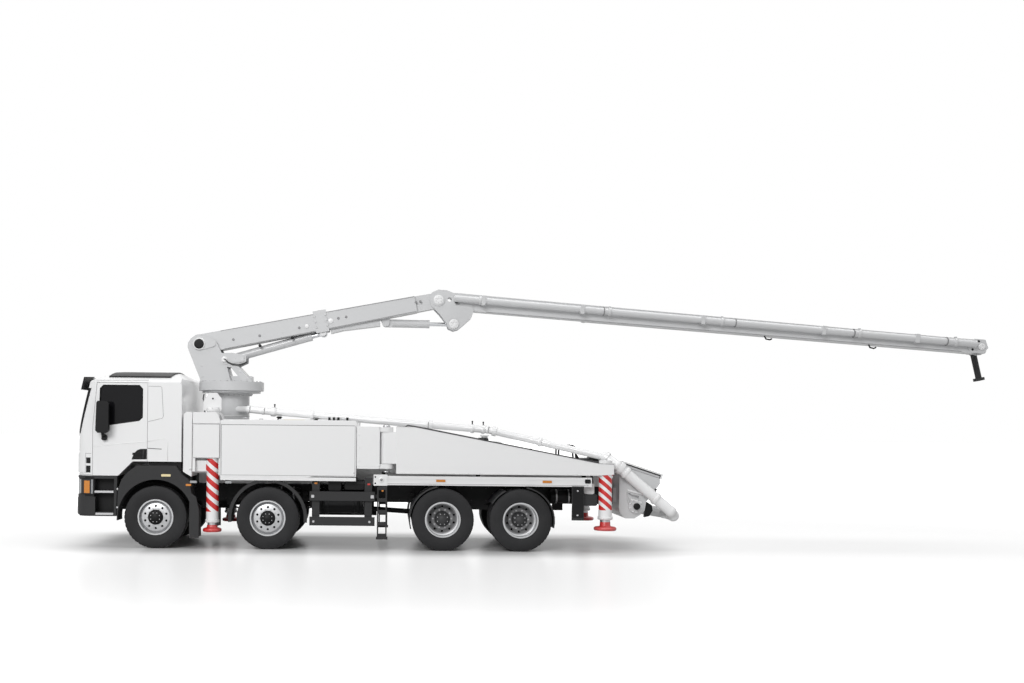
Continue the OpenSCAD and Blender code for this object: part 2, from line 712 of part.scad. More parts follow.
module front_bumper() color(plastic) part_frame() difference() {
    intersection() {
        translate([0, 0, bumper_z]) linear_extrude(bumper_top_z - bumper_z) difference() {
            translate([-bumper_proud, 0]) cab_plan(0);
            translate([-cab_front + bumper_t, -cab_half_w + 330])
                square([4000, 2 * (cab_half_w - 330)]);
        }
        side_profile(-cab_half_w - 10, cab_half_w + 10) polygon([
            [-cab_front - 20, bumper_z + 110], [-cab_front + 60, bumper_z], [-1040, bumper_z],
            [bumper_back_x - 20, bumper_z], [bumper_back_x - 8, bumper_top_z],
            [-cab_front - 20, bumper_top_z]]);
    }
    both_sides() {
        // Step well with two treads left standing
        for (z = [[bumper_z + 70, 945], [985, bumper_top_z - 50]])
            side_profile(-cab_half_w - 20, 170 - cab_half_w)
                polygon([[step_x, z[0]], [bumper_back_x - 60, z[0]], [bumper_back_x - 60, z[1]], [step_x, z[1]]]);
        // Headlamp pocket at the corner
        box([-cab_front - 30, -cab_half_w - 20, lamp_z], [lamp_back_x, 390 - cab_half_w, lamp_top_z]);
        // Space for the steered wheel and the frame
        box([-1200, -cab_half_w + 240, bumper_z - 1], [bumper_back_x + 50, 0, bumper_top_z - 60]);
    }
    box([-cab_front - 20, -500, bumper_z + 190], [-cab_front + 60, 500, bumper_z + 290]);
}
lamp_z = 920;
lamp_top_z = 1205;
lamp_back_x = -1085;

module lamps() part_frame() {
    both_sides() {
        color(glass) difference() {
            intersection() {
                translate([0, 0, lamp_z + seat]) linear_extrude(lamp_top_z - lamp_z - 2 * seat)
                    translate([-8, 0]) cab_plan(3);
                box([-cab_front - 30, -cab_half_w - 20, lamp_z], [lamp_back_x - seat, 390 - seat - cab_half_w, lamp_top_z]);
            }
            box([-cab_front + 140, -cab_half_w + 120, lamp_z - 1], [lamp_back_x + 10, 400 - cab_half_w, lamp_top_z + 1]);
        }
        // Rear lamp cluster on its bracket under the deck
        color(plastic) {
            box([7420, -1130, 800], [7636, -760, 1000]);
            box([7600, -810, 999], [7635, -760, deck_under_z - seat]);
        }
        color(red) box([7636 + seat, -1120, 810], [7654, -770, 990]);
    }
}

arch_r = 650;
mudguard_y = 900;

// Mudguard of the front axle with its arch and rear flap
module mudguards() color(plastic) part_frame() {
    both_sides() {
        difference() {
            side_profile(-cab_half_w + 2, -mudguard_y) polygon([
                [-667, 480], [-650, 1010], [-590, 1180], [-500, 1300], [-330, 1430], [350, 1430],
                [440, 1300], [583, 1180], [645, 800], [737, 720], [737, 200], [690, 200], [672, 660],
                [600, 480]]);
            cross_bar([0, wheel_z], -cab_half_w - 1, -mudguard_y + 1, 2 * arch_r);
            box([-600, -cab_half_w, 470], [600, -mudguard_y + 1, wheel_z]);
        }
        for (s = [-1, 1]) bar([s * 560, -rail_y - seat, 1040], [s * 560, -mudguard_y - 20, 1040], 50);
        fender(axle_x[1], 628, 662, -6, 186);
        for (s = [-1, 1])
            bar([axle_x[1] + s * 500, -rail_y - seat, 950], [axle_x[1] + s * 500, -mudguard_y - 20, 950], 44);
        rear_fender(axle_x[2], 100, 196);
        rear_fender(axle_x[3], -12, 80);
        rear_fender(axle_x[3], 118, 150);
    }
}

module fender(x, r0, r1, a0, a1)
    translate([x, 0, wheel_z]) {
        ring_sector(r0, r1, a0, a1, -cab_half_w, -mudguard_y, 20);
        ring_sector(r0, r1 + 22, a0, a1, -cab_half_w, 24 - cab_half_w, 20);
    }

twin_inner_y = rear_track_y - twin_pitch - tyre_w / 2 - 20;
module rear_fender(x, a0, a1) {
    translate([x, 0, wheel_z]) ring_sector(566, 588, a0, a1, -cab_half_w, -twin_inner_y, 10);
    a = (a0 + a1) / 2;
    p = [x, wheel_z] + polar(577, a);
    bar([p[0], -rail_y - seat, p[1]], [p[0], -twin_inner_y - 10, p[1]], 44);
}

// Engine and gearbox as one block, with the shaft to the rear axles
module engine_block() color(steel_black) part_frame() {
    box([-820, -290, 600], [520, 290, cab_bottom_z + 25]);
    both_sides() for (x = [-600, 160]) box([x, -rail_y, rail_top + seat], [x + 90, -280, rail_top + 50]);
    bar([520, 0, 800], [1150, 0, 800], 360);
    bar([1150, 0, 790], [axle_3_x - 340, 0, wheel_z + 40], 90);
}

// Subframe, front outrigger box and pedestal
tunnel_z = subframe_z + 30;
left_beam_x = 660;
right_beam_x = 1092;
beam_box_top = tunnel_z + beam_h + 2 * run + 30;
beam_box_half = 970;
subframe_back_x = 7900;

module subframe() color(paint) part_frame() {
    both_sides() box([body_front_x + 140, -rail_y, rail_top + seat], [subframe_back_x, rail_flange + 20 - rail_y, subframe_z]);
    for (x = [1700, 3300, 5000, 6600, subframe_back_x - 140])
        box([x, -rail_y + 10, rail_top + 40], [x + 120, rail_y - 10, subframe_z - 20]);
    difference() {
        union() {
            box([left_beam_x - 40, -beam_box_half, subframe_z - 0.5], [right_beam_x + beam_w + 40, beam_box_half, beam_box_top]);
            translate([slew_x, 0, beam_box_top - 1]) cylinder(h = ring_z - beam_box_top - 30, d = pedestal_d);
            translate([slew_x, 0, ring_z - 31]) cylinder(h = 31 - seat, r = pedestal_d / 2 + 60);
            translate([slew_x, 0, beam_box_top - 1])
                cylinder(h = 260, d1 = pedestal_d + 150, d2 = pedestal_d, $fn = 32);
        }
        for (x = [left_beam_x, right_beam_x])
            box([x - run, -beam_box_half - 1, tunnel_z], [x + beam_w + run, beam_box_half + 1, tunnel_z + beam_h + 2 * run]);
    }
    // Pads the beams slide on
    both_sides() for (x = [left_beam_x, right_beam_x])
        box([x + 20, -beam_box_half, tunnel_z - 1], [x + beam_w - 20, 100 - beam_box_half, tunnel_z + run - seat]);
}

// Side bodies with their panel lines, left and right
pocket_x0 = 622;
pocket_x1 = 1112;
pocket_y = 960;
groove = 5;

module body_outline() polygon([
    [body_front_x, 1330], [body_front_x, block_top_z - 50], [body_front_x + 45, block_top_z],
    [1030, block_top_z], [1075, block_top_z - 50], [1105, body_top_z], [body_back_x, body_top_z],
    [body_back_x, body_z + 20], [2700, body_z + 20], [2620, body_z], [610, body_z]]);

module side_bodies() color(paint) part_frame() difference() {
    both_sides() side_body();
    // Way of the right beam, which lies behind the jack's pocket
    box([pocket_x1 - 1, beam_box_half, beam_z0 - 8], [right_beam_x + beam_w + 8, body_y + 1, beam_z0 + beam_h + 8]);
}

module side_body() {
    difference() {
        side_profile(-body_y, -body_inner_y) body_outline();
        // Pocket of the front jack
        box([pocket_x0, -body_y - 1, body_z - 1], [pocket_x1, -pocket_y + 30, block_top_z + 1]);
        box([left_beam_x - 45, -beam_box_half - 6, body_z - 1], [right_beam_x + beam_w + 45, -body_inner_y + 1, beam_box_top + 8]);
        // Arch over the second axle
        cross_bar([axle_x[1], wheel_z], -body_y - 1, -body_inner_y + 1, 2 * 720);
        // Panel lines
        for (x = [pocket_x1 + 14, 1700, 2290, 2880])
            box([x, -body_y - 1, body_z + 30], [x + groove, groove - body_y, body_top_z - 75]);
        box([pocket_x1 + 14, -body_y - 1, body_top_z - 80], [body_back_x - 30, groove - body_y, body_top_z - 75]);
    }
    hinge_box();
}

fork_t = 82;
fork_r = 120;
leg_eye_z0 = 1500;
leg_eye_z1 = 2045;

// Fork that carries a rear leg
module hinge_box() {
    difference() {
        union() {
            box([body_back_x + 12, -body_y + 6, 1410], [leg_x - fork_r, -body_inner_y, 2140]);
            for (z = [leg_eye_z0 - run - fork_t, leg_eye_z1 + run]) {
                translate([leg_x, -leg_y, z]) cylinder(h = fork_t, r = fork_r);
                box([leg_x - fork_r - 1, -leg_y - fork_r, z], [leg_x, -leg_y + fork_r, z + fork_t]);
            }
            box([body_back_x - 1, -body_y + 40, 1450], [body_back_x + 13, -body_inner_y, 2100]);
        }
        translate([leg_x, -leg_y, leg_eye_z0 - 200]) cylinder(h = 1000, d = leg_pin_d + 2 * fit);
    }
}
leg_pin_d = 90;

// Deck, guards and tanks
deck_under_z = subframe_z + 40;
deck_half_w = 900;
deck_back_x = 7850;
pump_tunnel_half = 300;
deck_front_x = body_back_x + 30;

module deck() color(paint) part_frame() {
    difference() {
        union() {
            side_profile(-deck_half_w, deck_half_w) polygon([
                [leg_x + 10, deck_under_z], [leg_x + 10, deck_z + 60], [5400, deck_z + 60], [5600, deck_z - 100],
                [6900, deck_z - 160], [deck_back_x, deck_z - 330], [deck_back_x, deck_under_z]]);
            side_profile(-body_inner_y + seat, body_inner_y - seat) polygon([
                [1650, subframe_z + seat], [1650, 1980], [3400, 1980], [leg_x + 11, deck_z + 60],
                [leg_x + 11, subframe_z + seat]]);
            box([leg_x + 10, -pump_tunnel_half - 120, subframe_z + seat], [deck_back_x, pump_tunnel_half + 120, deck_under_z + 1]);
        }
        box([5200, -pump_tunnel_half, subframe_z - 1], [deck_back_x + 1, pump_tunnel_half, subframe_z + 300]);
    }
    boom_rest();
}

rest_x = 5750;
module boom_rest() {
    for (y = [-500, -150]) box([rest_x - 40, y - 30, deck_z - 130], [rest_x + 40, y + 30, 1985]);
    color(rubber) box([rest_x - 60, -560, 1984], [rest_x + 60, -90, 2010]);
}

guard_y = 1200;
module side_guards() color(plastic) part_frame() both_sides() {
    for (z = [[420, 570], [850, 1010]])
        box([2660, -guard_y, z[0]], [3790, 45 - guard_y, z[1]]);
    for (x = [2700, 3610]) {
        box([x, 44 - guard_y, 440], [x + 130, 100 - guard_y, body_z - seat]);
        box([x + 10, 60 - guard_y, 1060], [x + 120, -rail_y - 12, 1100]);
        box([x + 30, -rail_y - 13, 1060], [x + 100, -rail_y - seat, 1090]);
    }
    ladder();
    rail_strip();
    color(steel_black) {
        box([7200, -1200, 550], [7410, -1186, 1140]);
        box([7280, -1187, 1060], [7330, -rail_y - 12, 1100]);
        box([7270, -rail_y - 13, 1050], [7340, -rail_y - seat, 1095]);
    }
}

ladder_x = 3830;
module ladder() {
    difference() {
        box([ladder_x, -guard_y - 10, 230], [ladder_x + 170, 60 - guard_y, 1095]);
        for (i = [0:3]) box([ladder_x + 24, -guard_y - 11, 285 + i * 205], [ladder_x + 146, 61 - guard_y, 430 + i * 205]);
    }
    box([ladder_x - 15, -guard_y - 20, 190], [ladder_x + 185, 90 - guard_y, 231]);
    box([3739, 50 - guard_y, 900], [ladder_x + 1, 60 - guard_y, 960]);
}

// Long rail under the rear leg, with its groove and brackets
module rail_strip() color(paint) {
    difference() {
        box([3770, -1170, 1130], [7550, -1120, 1290]);
        box([3820, -1171, 1185], [7500, -1160, 1235]);
    }
    for (x = [3900, 5560, 7420]) {
        box([x, -1121, 1200], [x + 70, -deck_half_w + 40, 1240]);
        box([x, -deck_half_w, 1239], [x + 70, -deck_half_w + 40, deck_under_z - seat]);
    }
}

tank_x = 2760;
tank_len = 820;
module tanks() color(silver) part_frame() {
    for (s = [-1, 1]) {
        translate([tank_x, s * 790, 830]) rotate([0, 90, 0]) difference() {
            union() {
                cylinder(h = tank_len, d = 440);
                for (x = [150, tank_len - 210]) translate([0, 0, x]) cylinder(h = 60, d = 460);
            }
            translate([0, 0, -1]) cylinder(h = 8, d = 380);
        }
        for (x = [150, tank_len - 210])
            box([tank_x + x, s > 0 ? rail_y + seat : -600, 800], [tank_x + x + 60, s > 0 ? 600 : -rail_y - seat, 880]);
    }
}

// Front outriggers: sliding beam, jack tube and end panel
front_ram_d = 165;
rear_ram_d = 175;
ram_gap = 0.6;
beam_z0 = tunnel_z + run;
jack_top_z = 2450;
panel_y = body_y - 2;

module front_outrigger(right) color(paint) part_frame() on_side(right) {
    x = right ? right_beam_x : left_beam_x;
    difference() {
        box([x, -beam_box_half - 16, beam_z0], [x + beam_w, 940, beam_z0 + beam_h]);
        box([x + tube_wall, -beam_box_half + 20, beam_z0 + tube_wall],
            [x + beam_w - tube_wall, 941, beam_z0 + beam_h - tube_wall]);
    }
    difference() {
        union() {
            box([min(x, front_jack_x), -front_jack_y - 60, beam_z0],
                [max(x + beam_w, front_jack_x), -beam_box_half - 15, beam_z0 + beam_h]);
            translate([front_jack_x, -front_jack_y, front_jack_z]) cylinder(h = jack_top_z - front_jack_z, d = front_jack_d);
            translate([front_jack_x, -front_jack_y, beam_z0]) cylinder(h = beam_h, d = front_jack_d + 34);
        }
        translate([front_jack_x, -front_jack_y, front_jack_z - 1])
            cylinder(h = jack_top_z - front_jack_z - 20, d = front_ram_d + 2 * ram_gap);
    }
    difference() {
        side_profile(-front_jack_y - 20, -front_jack_y + 20) polygon([
            [790, jack_top_z - 60], [800, 2560], [900, 2700], [1030, 2700], [1110, 2600], [1110, jack_top_z - 60],
            [front_jack_x + 60, jack_top_z - 60], [front_jack_x + 60, jack_top_z - 1],
            [front_jack_x - 60, jack_top_z - 1], [front_jack_x - 60, jack_top_z - 60]]);
        cross_bar([960, 2600], -front_jack_y - 21, -front_jack_y + 21, 70);
    }
    // End panel and its two spacers
    box([pocket_x0 + 10, -panel_y, 1570], [pocket_x1 - 10, 12 - panel_y, 2160]);
    for (z = [1620, 2060]) box([front_jack_x - 40, 11 - panel_y, z], [front_jack_x + 40, -front_jack_y - 90, z + 50]);
    if (right) {
        box([pocket_x1 + 6, -panel_y, beam_z0], [x + beam_w, 12 - panel_y, beam_z0 + beam_h]);
        box([pocket_x1 + 60, 11 - panel_y, beam_z0 + 60], [x + beam_w - 40, -front_jack_y - 59, beam_z0 + beam_h - 60]);
    }
}

// Ram with its foot, raised
module jack(x, y, foot_z, foot_d, ram_d, ram_top_z, right) part_frame() on_side(right) {
    color(silver) translate([x, -y, foot_z + 40]) cylinder(h = ram_top_z - foot_z - 40, d = ram_d);
    color(red) translate([x, -y, foot_z]) rotate_extrude() polygon([
        [0, 0], [foot_d / 2 - 12, 0], [foot_d / 2, 14], [foot_d / 2, 34], [foot_d / 2 - 40, 46],
        [ram_d / 2 + 14, 60], [ram_d / 2 + 8, 78], [0, 78]]);
}

// Swinging rear leg with its jack tube
module rear_leg(right) color(paint) part_frame() on_side(right) {
    x0 = leg_x + 175;
    x1 = rear_jack_x + 120;
    difference() {
        union() {
            translate([leg_x, -leg_y, leg_eye_z0]) cylinder(h = leg_eye_z1 - leg_eye_z0, r = fork_r - run);
            box([leg_x, -leg_y - fork_r + run, leg_eye_z0], [x0 + 1, -leg_y + fork_r - run, leg_eye_z1]);
            side_profile(-leg_y - leg_w / 2, leg_w / 2 - leg_y) polygon([
                [x0, leg_z], [x0, leg_z + leg_h0], [x0 + 300, leg_z + leg_h0], [x1 - 260, leg_z + leg_h1 + 10],
                [x1, leg_z + leg_h1], [x1, leg_z + 20], [x1 - 300, leg_z]]);
            translate([rear_jack_x, -leg_y, rear_jack_z]) cylinder(h = leg_z + leg_h1 + 60 - rear_jack_z, d = rear_jack_d);
            translate([rear_jack_x, -leg_y, leg_z - 40]) cylinder(h = 60, d = rear_jack_d + 30);
        }
        translate([rear_jack_x, -leg_y, rear_jack_z - 1])
            cylinder(h = leg_z + leg_h1 + 30 - rear_jack_z, d = rear_ram_d + 2 * ram_gap);
        // Pressed field along the outer side
        side_profile(-leg_y - leg_w / 2 - 1, 6 - leg_y - leg_w / 2) polygon([
            [x0 + 150, leg_z + 110], [x0 + 150, leg_z + leg_h0 - 110], [x0 + 400, leg_z + leg_h0 - 110],
            [x1 - 500, leg_z + leg_h1 - 20], [x1 - 500, leg_z + 80]]);
    }
    translate([leg_x, -leg_y, leg_eye_z0 - run - fork_t - 10])
        cylinder(h = leg_eye_z1 - leg_eye_z0 + 2 * (run + fork_t + 10), d = leg_pin_d);
}

// Hopper, its grate and lid, pump and pipes
rim_t = tan(hopper_fall);
hopper_back_x = hopper_x + hopper_len;
hopper_back_z = hopper_rim_z - hopper_len * rim_t;

function hopper_side(i) = [
    [hopper_x + i, hopper_rim_z + 5 * i], [hopper_back_x - i, hopper_back_z + 5 * i],
    [hopper_back_x - i, hopper_back_z - 90], [8590 - i, 860], [8560 - i, 700], [8480 - i / 2, hopper_z + 60 + i / 2],
    [8380, hopper_z + i], [8230, hopper_z + i], [8150 + i / 2, hopper_z + 60 + i / 2], [hopper_x + i, 720]];

module hopper() color(paint) part_frame() {
    difference() {
        side_profile(-hopper_half_w, hopper_half_w) polygon(hopper_side(0));
        difference() {
            side_profile(hopper_wall - hopper_half_w, hopper_half_w - hopper_wall) polygon(hopper_side(hopper_wall));
            // Sloping side floors
            both_sides() cross_profile(hopper_x - 10, hopper_back_x + 10) polygon([
                [-hopper_half_w, hopper_z], [-hopper_half_w, 1120], [-hopper_half_w + 30, 1120], [-420, hopper_z + 120],
                [-420, hopper_z]]);
        }
    }
    for (y = [-rail_y, rail_y - 90]) box([rail_end_x + seat, y, 820], [hopper_x + 1, y + 90, 1080]);
    // Hinge pin of the grate and the lid
    both_sides() {
        cross_bar(hinge_p, -600, -310, 30);
        cross_bar(hinge_p, -600, -506, 56);
        box([hinge_p[0] - 28, -600, 1380], [hopper_x + 1, -506, hinge_p[1]]);
    }
    // Agitator covers
    both_sides() translate([8400, -hopper_half_w + 1, 780]) rotate([90, 0, 0]) {
        cylinder(h = 40, d = 260);
        cylinder(h = 90, d = 120);
    }
}

hinge_p = [hopper_x - 20, hopper_rim_z + 30];

module slab(p, len, lift, t, y0, y1) {
    a = -hopper_fall;
    side_profile(y0, y1) polygon([
        along(p, a + 90, lift), along(along(p, a + 90, lift), a, len),
        along(along(p, a + 90, lift + t), a, len), along(p, a + 90, lift + t)]);
}

module hopper_grate() color(steel_black) part_frame() {
    q = along(hinge_p, -hopper_fall, 60);
    difference() {
        slab(q, hopper_len - 10, -16, 36, 30 - hopper_half_w, hopper_half_w - 30);
        slab(along(q, -hopper_fall, 40), hopper_len - 90, -17, 38, 80 - hopper_half_w, hopper_half_w - 80);
    }
    for (i = [1:13]) {
        y = -hopper_half_w + 80 + i * (2 * hopper_half_w - 160) / 14;
        slab(along(q, -hopper_fall, 39), hopper_len - 88, -10, 24, y - 6, y + 6);
    }
    difference() {
        union() for (y = [-500, 420]) {
            cross_bar(hinge_p, y, y + 80, 60);
            slab(hinge_p, 80, -14, 24, y, y + 80);
        }
        cross_bar(hinge_p, -600, 600, 30 + 2 * fit);
    }
}

module hopper_lid() color(paint) part_frame() {
    q = along(hinge_p, -hopper_fall, 75);
    slab(q, hopper_len + 25, 44, 30, 10 - hopper_half_w, hopper_half_w - 10);
    slab(along(q, -hopper_fall, hopper_len - 5), 30, -20, 65, 10 - hopper_half_w, hopper_half_w - 10);
    difference() {
        union() for (y = [-400, 320]) {
            cross_bar(hinge_p, y, y + 80, 56);
            slab(hinge_p, 90, 20, 50, y, y + 80);
        }
        cross_bar(hinge_p, -600, 600, 30 + 2 * fit);
    }
}

pipe_y = -470;
rear_pipe_y = -885;
rear_pipe_d = 190;

module coupling(a, b, d) {
    v = (b - a) / norm(b - a);
    bar(a - 35 * v, a + 35 * v, d + 46);
}

module delivery_pipe() color(paint) part_frame() {
    points = [[1500, pipe_y, 2430], [1760, pipe_y, 2405], [4700, pipe_y, 2180], [5790, pipe_y, 2105],
              [7850, -800, 1640], [8040, rear_pipe_y, 1500], [8990, rear_pipe_y, 700]];
    difference() {
        pipe_run(points);
        translate([slew_x, 0, 2300]) cylinder(h = 260, d = pedestal_d + 2 * seat);
        side_profile(-hopper_half_w - seat, hopper_half_w + seat) polygon(hopper_side(-seat));
    }
}

module pipe_run(points) {
    for (i = [0:len(points) - 2]) {
        bar(points[i], points[i + 1], i < 4 ? pipe_d : rear_pipe_d);
        translate(points[i + 1]) sphere(d = (i < 3 ? pipe_d : rear_pipe_d) + 14);
    }
    for (i = [1:5]) coupling(points[i] + 0.06 * (points[i + 1] - points[i]), points[i + 1], i < 4 ? pipe_d : rear_pipe_d);
    bar([1500, pipe_y, 2430], [slew_x + 100, -200, 2430], pipe_d);
    translate([1500, pipe_y, 2430]) sphere(d = pipe_d + 14);
    // Lower bend and the outlet of the pump
    bar([8990, rear_pipe_y, 700], [9060, rear_pipe_y + 100, 620], rear_pipe_d);
    translate([9060, rear_pipe_y + 100, 620]) sphere(d = rear_pipe_d + 14);
    bar([9060, rear_pipe_y + 100, 620], [9060, -100, 620], rear_pipe_d);
    translate([9060, -100, 620]) sphere(d = rear_pipe_d + 14);
    bar([9060, -100, 620], [8540, 0, 700], rear_pipe_d);
}

module pump_cylinders() color(steel_black) part_frame() {
    for (y = [-140, 140]) {
        translate([5300, y, subframe_z + 135]) rotate([0, 90, 0]) cylinder(h = 1400, d = 170);
        translate([6600, y, subframe_z + 135]) rotate([0, 90, 0]) cylinder(h = hopper_x - seat - 6600, d = pump_d);
    }
    box([6610, -270, subframe_z - 20 + seat], [6710, 270, subframe_z + 285]);
    box([7770, -270, subframe_z - 20 + seat], [7870, 270, subframe_z + 285]);
}

// Turret and boom
cheek_t = 40;
cheek_gap = arm_1_w / 2 + 10;
lift_base = [1010, 3334];
lift_top = [2800, 3850];
elbow_base = elbow + [-956.1, -426.6];
elbow_top = elbow + [283.9, -439.6];
ring_top = ring_z + ring_h;

module turret() color(paint) part_frame() {
    translate([slew_x, 0, ring_z + 40]) cylinder(h = ring_h - 40, r = ring_r);
    translate([slew_x, 0, ring_z + seat]) cylinder(h = 41, r = ring_r - 60);
    both_sides() {
        side_profile(-cheek_gap - cheek_t, -cheek_gap) polygon([
            [572, ring_top - 1], [566, 2990], [pivot_x - 211, pivot_z - 70], [pivot_x - 206, pivot_z + 20],
            [pivot_x - 150, pivot_z + 105], [pivot_x - 40, pivot_z + 150], [pivot_x + 110, pivot_z + 145],
            [pivot_x + 300, pivot_z + 60], [960, 3455], [1150, 3462], [1407, 3420], [1400, 3290], [1262, 3225],
            [1517, 2950], [1522, ring_top - 1], [1330, ring_top - 1], [1322, 2960], [1130, 3195], [1052, 3205],
            [1149, 2950], [1152, ring_top - 1]]);
        // Raised plates at the pivot and at the lift cylinder's pin
        side_profile(-cheek_gap - cheek_t - 18, -cheek_gap - cheek_t + 1) polygon(concat(
            [for (a = [60:20:300]) along(pivot, a, 118)], [[pivot_x + 250, pivot_z - 52], [pivot_x + 300, pivot_z - 20],
            [pivot_x + 300, pivot_z + 20], [pivot_x + 250, pivot_z + 52]]));
        side_profile(-cheek_gap - cheek_t - 12, -cheek_gap - cheek_t + 1) polygon(concat(
            [for (a = [70:20:290]) along(lift_base, a, 88)], [[1370, 3300], [1370, 3395], [1120, 3432]]));
        // Ribs along the column's edges
        side_profile(-cheek_gap - cheek_t - 30, -cheek_gap - cheek_t + 1)
            polygon([[1112, ring_top - 1], [1040, 3215], [1062, 3215], [1134, ring_top - 1]]);
    }
    box([600, -cheek_gap - 1, ring_top - 1], [1500, cheek_gap + 1, ring_top + 110]);
    side_profile(-cheek_gap - 1, cheek_gap + 1) {
        // Front wall of the column, its back below the cylinder, and the wall of the strut
        polygon([[573, ring_top - 1], [568, 2990], [pivot_x - 210, pivot_z - 69], [pivot_x - 185, pivot_z - 62],
                 [593, 2995], [598, ring_top - 1]]);
        polygon([[1130, ring_top - 1], [1050, 3190], [1072, 3200], [1151, ring_top - 1]]);
        polygon([[1490, ring_top - 1], [1495, 2945], [1250, 3215], [1262, 3226], [1517, 2950], [1520, ring_top - 1]]);
    }
    cross_bar(pivot, -cheek_gap - cheek_t - 30, cheek_gap + cheek_t + 30, pin_d);
    cross_bar(lift_base, -cheek_gap - 1, cheek_gap + 1, lift_pin_d);
}
lift_pin_d = 80;

lug_t = 25;
eye_half = 45;
open_eye_d = 150;
open_bore_d = 110;
open_pin_d = 50;

module eye_lugs(p, foot, d) both_sides() {
    cross_bar(p, -eye_half - 6 - lug_t, -eye_half - 6, d);
    beam(p, foot, d, d + 80, -eye_half - 6 - lug_t, -eye_half - 6);
}

module arm_1() color(paint) part_frame() {
    a = arm_1_rise;
    root = along(pivot, a, 0);
    end_in = along(elbow, a + 180, 420);
    difference() {
        union() {
            cross_bar(pivot, -arm_1_w / 2, arm_1_w / 2, arm_1_h0 + 10);
            beam(root, end_in, arm_1_h0, arm_1_h1 + 16, -arm_1_w / 2, arm_1_w / 2);
            beam(along(end_in, a + 180, 60), elbow, arm_1_h1 + 10, arm_1_h1, -eye_end_half, eye_end_half);
            cross_bar(elbow, -eye_end_half, eye_end_half, arm_1_h1 + 20);
            // Collar over the lift cylinder's lugs
            beam(along(lift_top, a + 90, 210) - polar(120, a), along(lift_top, a + 90, 210) + polar(120, a),
                 400, 400, -arm_1_w / 2 - 12, arm_1_w / 2 + 12);
            eye_lugs(lift_top, along(lift_top, a + 90, 120), 130);
            eye_lugs(elbow_base, along(elbow_base, a + 90, 130), 130);
            // Concrete pipe along the far side with its clamps
            bar(concat3(along(pivot, a, 500), 270), concat3(along(pivot, a, arm_1_len - 500), 270), pipe_d);
            for (t = [700, 1900, 3100, 3800])
                beam(along(pivot, a, t), along(pivot, a, t + 60), pipe_d + 30, pipe_d + 30, arm_1_w / 2 - 20, 345);
        }
        cross_bar(pivot, -arm_1_w, arm_1_w, pin_d + 2 * fit);
        cross_bar(elbow, -arm_1_w, arm_1_w, pin_d + 2 * fit);
        // Channels in the belly for the lift cylinder and its eye
        belly_cut(500, 2115, -185, -56, lift_d / 2 + 8);
        belly_cut(2060, 2430, -57, -40, eye_half + 6);
        cross_bar(elbow_base, -arm_1_w, arm_1_w, elbow_pin_d + 2 * fit);
        cross_bar(elbow_base, -eye_half - 6, eye_half + 6, 170);
    }
    both_sides() cross_bar(lift_top, -eye_half - 6 - lug_t - 16, -eye_half - 7 - lug_t / 2, 90);
}
eye_end_half = 110;

// Cut under the first arm, from u0 to u1 along it and up to v0 and v1 below its middle line
module belly_cut(u0, u1, v0, v1, half)
    side_profile(-half, half) polygon([for (p = [[u0, -260], [u0, v0], [u1, v1], [u1, -260]])
        along(along(pivot, arm_1_rise, p[0]), arm_1_rise + 90, p[1])]);
elbow_pin_d = 70;
function concat3(p, y) = [p[0], y, p[1]];

plate_t = 25;
plate_y = eye_end_half + 10;
arm_2_start = 280;
pipe_2_y = -plate_y - plate_t - 20 - pipe_d / 2;

module arm_2() color(paint) part_frame() {
    a = -arm_2_fall;
    start = along(elbow, a, arm_2_start);
    end_in = along(tip, a + 180, 150);
    both_sides() difference() {
        side_profile(-plate_y - plate_t, -plate_y) polygon([
            for (p = [[-125, -115], [-168, 30], [-120, 135], [0, 188], [148, 178], [295, 122], [497, 48], [600, -60],
                      [645, -197], [600, -330], [461, -455], [365, -535], [280, -560], [185, -520], [150, -430],
                      [20, -260]]) elbow + p]);
        for (p = [[203, 8], [350, -55], [442, -10]])
            cross_bar(elbow + p, -plate_y - plate_t - 1, 1 - plate_y, 80);
    }
    both_sides() cross_bar(elbow, -plate_y - plate_t - 16, -plate_y, 230);
    cross_bar(elbow, -plate_y - plate_t, plate_y + plate_t, pin_d);
    cross_bar(elbow_top, -plate_y - plate_t - 10, plate_y + plate_t + 10, open_pin_d);
    beam(start, end_in, arm_2_h0, arm_2_h1, -arm_2_w / 2, arm_2_w / 2);
    // Web between the plates
    beam(start, along(elbow, a, 820), arm_2_h0 - 30, arm_2_h0 - 30, -plate_y - 1, plate_y + 1);
    side_profile(-arm_2_w / 2 - 12, arm_2_w / 2 + 12) polygon([
        along(tip, 172, 270), along(tip, 130, 190), along(tip, 60, 150), along(tip, -10, 130), along(tip, -70, 125),
        along(tip, 208, 230)]);
    cross_bar(tip, -arm_2_w / 2 - 24, arm_3_y0 + arm_3_w + 12, tip_pin_d);
    // Concrete pipe along the near side with its clamps
    bar(concat3(along(start, a + 90, 40), pipe_2_y), concat3(along(end_in, a + 90, 30), pipe_2_y), pipe_d);
    for (t = [500, 2300, 4500, 6700, 8400])
        beam(along(start, a, t) + polar(36, a + 90), along(start, a, t + 70) + polar(34, a + 90), pipe_d + 34, pipe_d + 34,
             pipe_2_y - pipe_d / 2 - 14, -arm_2_w / 2 + 10);
}

tip_pin_d = 90;
arm_3_y0 = arm_2_w / 2 + 50;
pipe_3_d = 110;
pipe_3_y = arm_3_y0 + arm_3_w + 8 + pipe_3_d / 2;
pipe_4_y = pipe_3_y + pipe_3_d + 12;
arm_4_y0 = pipe_4_y + pipe_3_d / 2 + 10;

